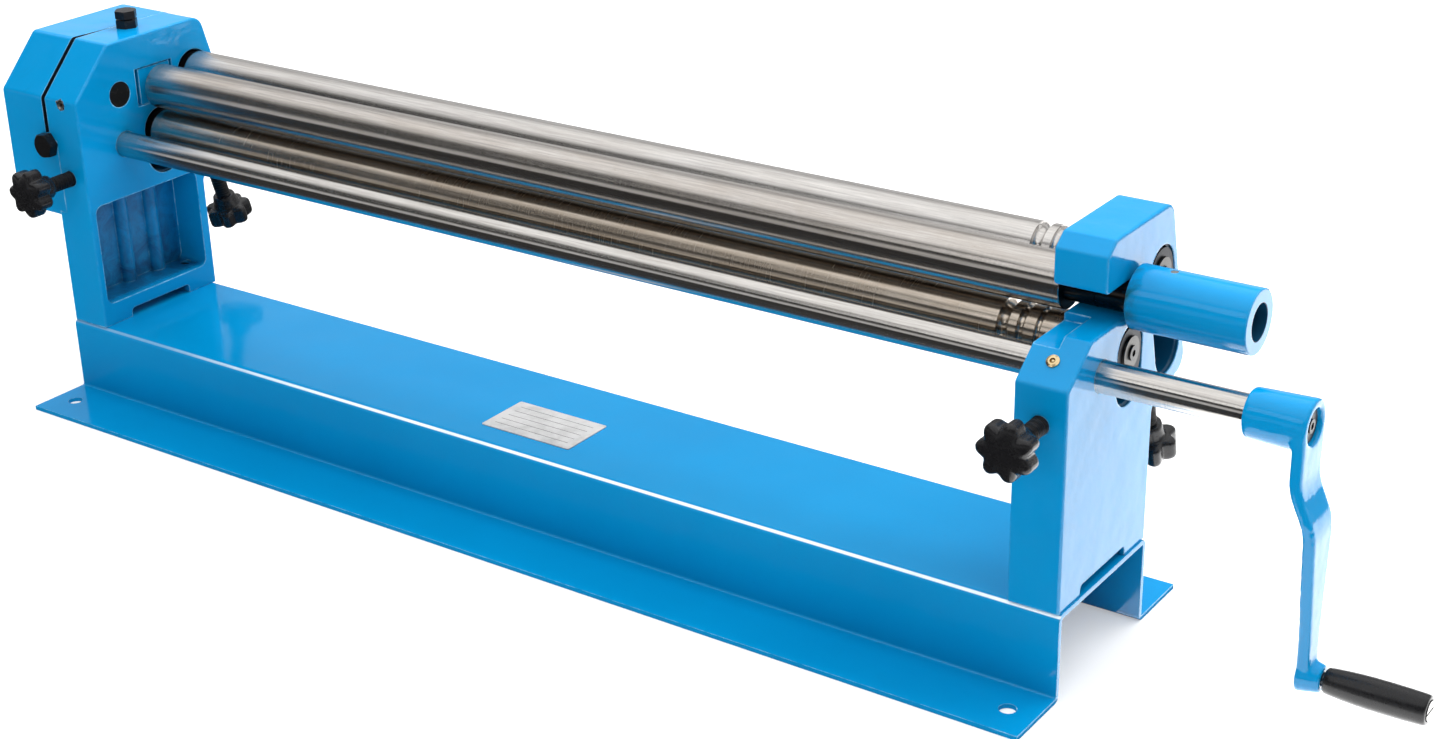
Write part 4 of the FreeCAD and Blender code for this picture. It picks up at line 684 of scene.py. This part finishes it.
rolled = thread_tree()
screw_point = [(0.0, 0.0), (screw_radius - thread_depth, 0.0), (screw_radius - 0.0002, 0.0009),
               (0.0004, 0.0080), (0.0, 0.0080)]
for side, sign in sides:
    place_x = sign * screw_x
    body = "front_screw_" + side + "_body"
    mesh = grown_mesh(rolled, {"Length": front_bar_length, "Finish": black_bolts})
    tip = turned(screw_point, 40)
    tip.transform(Matrix.Translation((0, 0, front_point_at)))
    both = bmesh.new()
    both.from_mesh(mesh)
    both.from_mesh(tip)
    both.to_mesh(mesh)
    both.free()
    stand_on(mesh, (place_x, front_screw_start_y, front_screw_z), (0, 1, 0))
    screw = set_in_place("front_adjusting_screw_" + side, mesh, black_bolts, 40)
    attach(screw, body)
    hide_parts("front_screw_" + side)
    body = "rear_screw_" + side + "_body"
    mesh = grown_mesh(rolled, {"Length": rear_bar_length, "Finish": black_bolts})
    start = rear_line + down_rear * rear_screw_start
    stand_on(mesh, (place_x, start.y, start.z), down_rear)
    screw = set_in_place("rear_adjusting_screw_" + side, mesh, black_bolts, 40)
    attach(screw, body)
    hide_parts("rear_screw_" + side)

# Star knobs: seven-lobed black plastic mouldings, pressed on the four adjusting screws.
# The face is slightly domed and shiny, the edges are soft, and a round neck runs to the screw.


def black_moulding(name, rough):
    """Moulded black plastic, slightly pebbled, with a little dust."""
    mat, tree, face = new_finish(name)
    here = own_place(tree)
    dust = levels(tree, grain(tree, here, 90.0, 5.0, 0.7), 0.6, 0.85, 0.0, 0.2)
    colour = blend_colour(tree, dust, (0.007, 0.007, 0.008), (0.035, 0.035, 0.037))
    tree.links.new(colour, face.inputs["Base Color"])
    tree.links.new(levels(tree, grain(tree, here, 240.0, 4.0), 0.3, 0.7, rough - 0.05, rough + 0.08),
                   face.inputs["Roughness"])
    face.inputs["Specular IOR Level"].default_value = 0.3
    relief(tree, face, [(grain(tree, here, 1500.0, 2.0), 0.000012)])
    return mat


knob_plastic = black_moulding("moulded_knob", 0.24)
knob_radius = 0.0234
knob_valley = 0.0192
knob_lobes = 7
knob_length = 0.0320
knob_points = knob_lobes * 14
# height, size of the outline, how far the outline is a star and not a ring
knob_head = [(0.0002, 0.20, 0.0), (0.0005, 0.40, 0.2), (0.0011, 0.60, 0.5), (0.0019, 0.78, 0.8),
             (0.0027, 0.88, 0.95), (0.0036, 0.945, 1.0), (0.0049, 0.98, 1.0), (0.0066, 0.997, 1.0),
             (0.0085, 1.0, 1.0), (0.0150, 1.0, 1.0), (0.0170, 0.992, 1.0), (0.0184, 0.965, 1.0),
             (0.0194, 0.92, 1.0), (0.0199, 0.86, 0.9), (0.0200, 0.76, 0.5), (0.0202, 0.67, 0.15)]
# radius, height of the neck's rings
knob_neck = [(0.0138, 0.0206), (0.0134, 0.0214), (0.0128, 0.0240), (0.0118, 0.0280), (0.0112, 0.0312),
             (0.0107, 0.0319), (0.0098, knob_length), (0.0074, knob_length), (0.0, knob_length)]


def star_knob_mesh():
    """Knob along +Z, its face at 0 and the end of its neck at knob_length."""
    mean = (knob_radius + knob_valley) / 2
    swing = (knob_radius - knob_valley) / 2
    shape = bmesh.new()
    rows = [ring_at(shape, 0.0, 0.0, knob_points)]
    for height, size, star in knob_head:
        row = []
        for i in range(knob_points):
            angle = 2 * math.pi * i / knob_points
            wave = math.cos(knob_lobes * angle)
            lobe = mean + swing * (1.25 * wave - 0.25 * wave * wave)
            radius = size * (star * lobe + (1 - star) * mean)
            row.append(shape.verts.new((radius * math.cos(angle), radius * math.sin(angle), height)))
        rows.append(row)
    rows += [ring_at(shape, radius, height, knob_points) for radius, height in knob_neck]
    return skinned("star_knob", shape, rows, knob_points)


rear_face = rear_line + down_rear * rear_knob_face
for side, sign in sides:
    place_x = sign * screw_x
    for where, base, direction in (("front", (place_x, front_knob_face_y, front_screw_z), (0, 1, 0)),
                                   ("rear", (place_x, rear_face.y, rear_face.z), -down_rear)):
        mesh = star_knob_mesh()
        stand_on(mesh, base, direction)
        knob = set_in_place(where + "_star_knob_" + side, mesh, knob_plastic)
        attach(knob, where + "_knob_" + side + "_body")
        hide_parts(where + "_knob_" + side)

# Crank grip: a turned black plastic handle that spins on its pin, thinner next to the arm.
# Its outer end has a shallow recess, in which the head of the pin is seen.

grip_plastic = black_moulding("moulded_grip", 0.27)
grip_start = (0.731, -0.0185, 0.054)
# radius, distance from the arm
grip_outline = [(0.0, 0.0), (0.0078, 0.0), (0.0092, 0.0006), (0.0099, 0.0018), (0.0103, 0.0060),
                (0.0112, 0.0160), (0.01185, 0.0270), (0.0121, 0.0390), (0.0121, 0.0500),
                (0.01195, 0.0610), (0.0117, 0.0700), (0.0114, 0.0742), (0.0108, 0.0756),
                (0.0098, 0.0760), (0.0084, 0.0760), (0.0082, 0.0730), (0.0, 0.0730)]
grip = turned(grip_outline, 64)
stand_on(grip, grip_start, (1, 0, 0))
grip = set_in_place("turned_grip", grip, grip_plastic, 50)
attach(grip, "grip")
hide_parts("crank_grip")

# Crank: a small iron casting, hub and jogged arm in one, with soft edges all round.
# It is keyed on the shaft and held by a washer and a sunk screw.

crank_enamel = blue_enamel("enamel_on_crank", 60.0, 0.0005, 330.0, 0.00004, 0.12, 0.0)
crank_cell = 0.0011
crank_rounds = 26


def softened(name, source, cell, rounds, mat):
    """Closed copy of a CAD node in cells of one size, its edges eased in so many rounds."""
    shape = bmesh.new()
    shape.from_mesh(node[source].data)
    bmesh.ops.remove_doubles(shape, verts=shape.verts, dist=1e-6)
    mesh = bpy.data.meshes.new(name)
    shape.to_mesh(mesh)
    shape.free()
    piece = bpy.data.objects.new(name, mesh)
    bpy.context.scene.collection.objects.link(piece)
    cells = piece.modifiers.new("cells", "REMESH")
    cells.mode = "VOXEL"
    cells.voxel_size = cell
    ease = piece.modifiers.new("ease", "SMOOTH")
    ease.factor = 0.5
    ease.iterations = rounds
    graph = bpy.context.evaluated_depsgraph_get()
    soft = bpy.data.meshes.new_from_object(piece.evaluated_get(graph))
    bpy.data.objects.remove(piece)
    return set_in_place(name, soft, mat)


crank = softened("cast_crank", "crank_arm", crank_cell, crank_rounds, crank_enamel)
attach(crank, "crank")
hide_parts("crank_arm")

# Lift handle: a short length of thick steel tube on the upper roll's end, enamelled blue.
# A cross pin holds it. Oil and dirt are smeared where it meets the roll, and its bore is painted in shade.


def handled(tree, face, here, tone, shine):
    """Oily dirt round the tube's inner rim, and painted shade in the bore."""
    x, y, z = axes(tree, here)
    rim = fade(tree, x, 0.5485, 0.5600)
    smear = levels(tree, grain(tree, here, 70.0, 5.0, 0.7, 0.5), 0.42, 0.68)
    tone = blend_colour(tree, merge(tree, merge(tree, rim, smear), 0.9), tone, (0.012, 0.055, 0.040))
    off_y = merge(tree, merge(tree, y, -roll_y, "ADD"), 2.0, "POWER")
    off_z = merge(tree, merge(tree, z, -upper_roll_z, "ADD"), 2.0, "POWER")
    # squares of 14.7 and 15.2 mm from the tube's axis, just past the bore; within it is painted shade
    bore = fade(tree, merge(tree, off_y, off_z, "ADD"), 0.000215, 0.000230)
    return blend_colour(tree, bore, tone, (0.006, 0.050, 0.105)), shine


tube_enamel = blue_enamel("enamel_on_tube", 30.0, 0.0003, 380.0, 0.000015, 0.06, 0.0012, handled)
dress(["lift_handle"], tube_enamel)

# Grip pin: plated steel with a slot in its head.
# It is riveted into the end of the crank's arm, and the grip turns on it.

plated = cut_steel("plated_steel", (0.24, 0.24, 0.235), 0.2)
dress(["grip_pin"], plated)

# Oiler: a small brass cup with a ball in its mouth.
# It is pressed into the sloped upper face at the front of the right casting.

brass = cut_steel("pressed_brass", (0.88, 0.68, 0.38), 0.22)
dress(["ball_oiler"], brass)

# Plate on the base: thin brushed aluminium with rounded corners, laid on the base top.
# It carries five printed lines and no words.

plate_metal = cut_steel("brushed_plate", (0.53, 0.53, 0.53), 0.34)
plate_metal.node_tree.nodes["Principled BSDF"].inputs["Metallic"].default_value = 0.3
plate_ink = black_moulding("plate_rule_ink", 0.5)
dress(["data_plate"], plate_metal)
first_rule = (0.009, -0.0362, 0.07583)
rule_height = 0.00006


def ruled_tree():
    """Row of thin bars along +Y, each Long by Thick, for the plate's ruled lines."""
    tree, given, end = growth_tree("ruled_lines", {"Count": 5.0, "Step": 0.0090, "Long": 0.082,
                                                   "Thick": 0.0004})
    add = tree.nodes.new
    row = add("GeometryNodeMeshLine")
    step = add("ShaderNodeCombineXYZ")
    tree.links.new(given["Step"], step.inputs["Y"])
    tree.links.new(given["Count"], row.inputs["Count"])
    tree.links.new(step.outputs[0], row.inputs["Offset"])
    bar = add("GeometryNodeMeshCube")
    size = add("ShaderNodeCombineXYZ")
    tree.links.new(given["Long"], size.inputs["X"])
    tree.links.new(given["Thick"], size.inputs["Y"])
    size.inputs["Z"].default_value = rule_height
    tree.links.new(size.outputs[0], bar.inputs["Size"])
    spread = add("GeometryNodeInstanceOnPoints")
    tree.links.new(row.outputs[0], spread.inputs["Points"])
    tree.links.new(bar.outputs["Mesh"], spread.inputs["Instance"])
    hand_out(tree, spread.outputs[0], given, end)
    return tree


rules = grown_mesh(ruled_tree(), {"Finish": plate_ink})
rules.transform(Matrix.Translation(first_rule))
rules = set_in_place("plate_rules", rules, plate_ink, 30)
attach(rules, "frame")
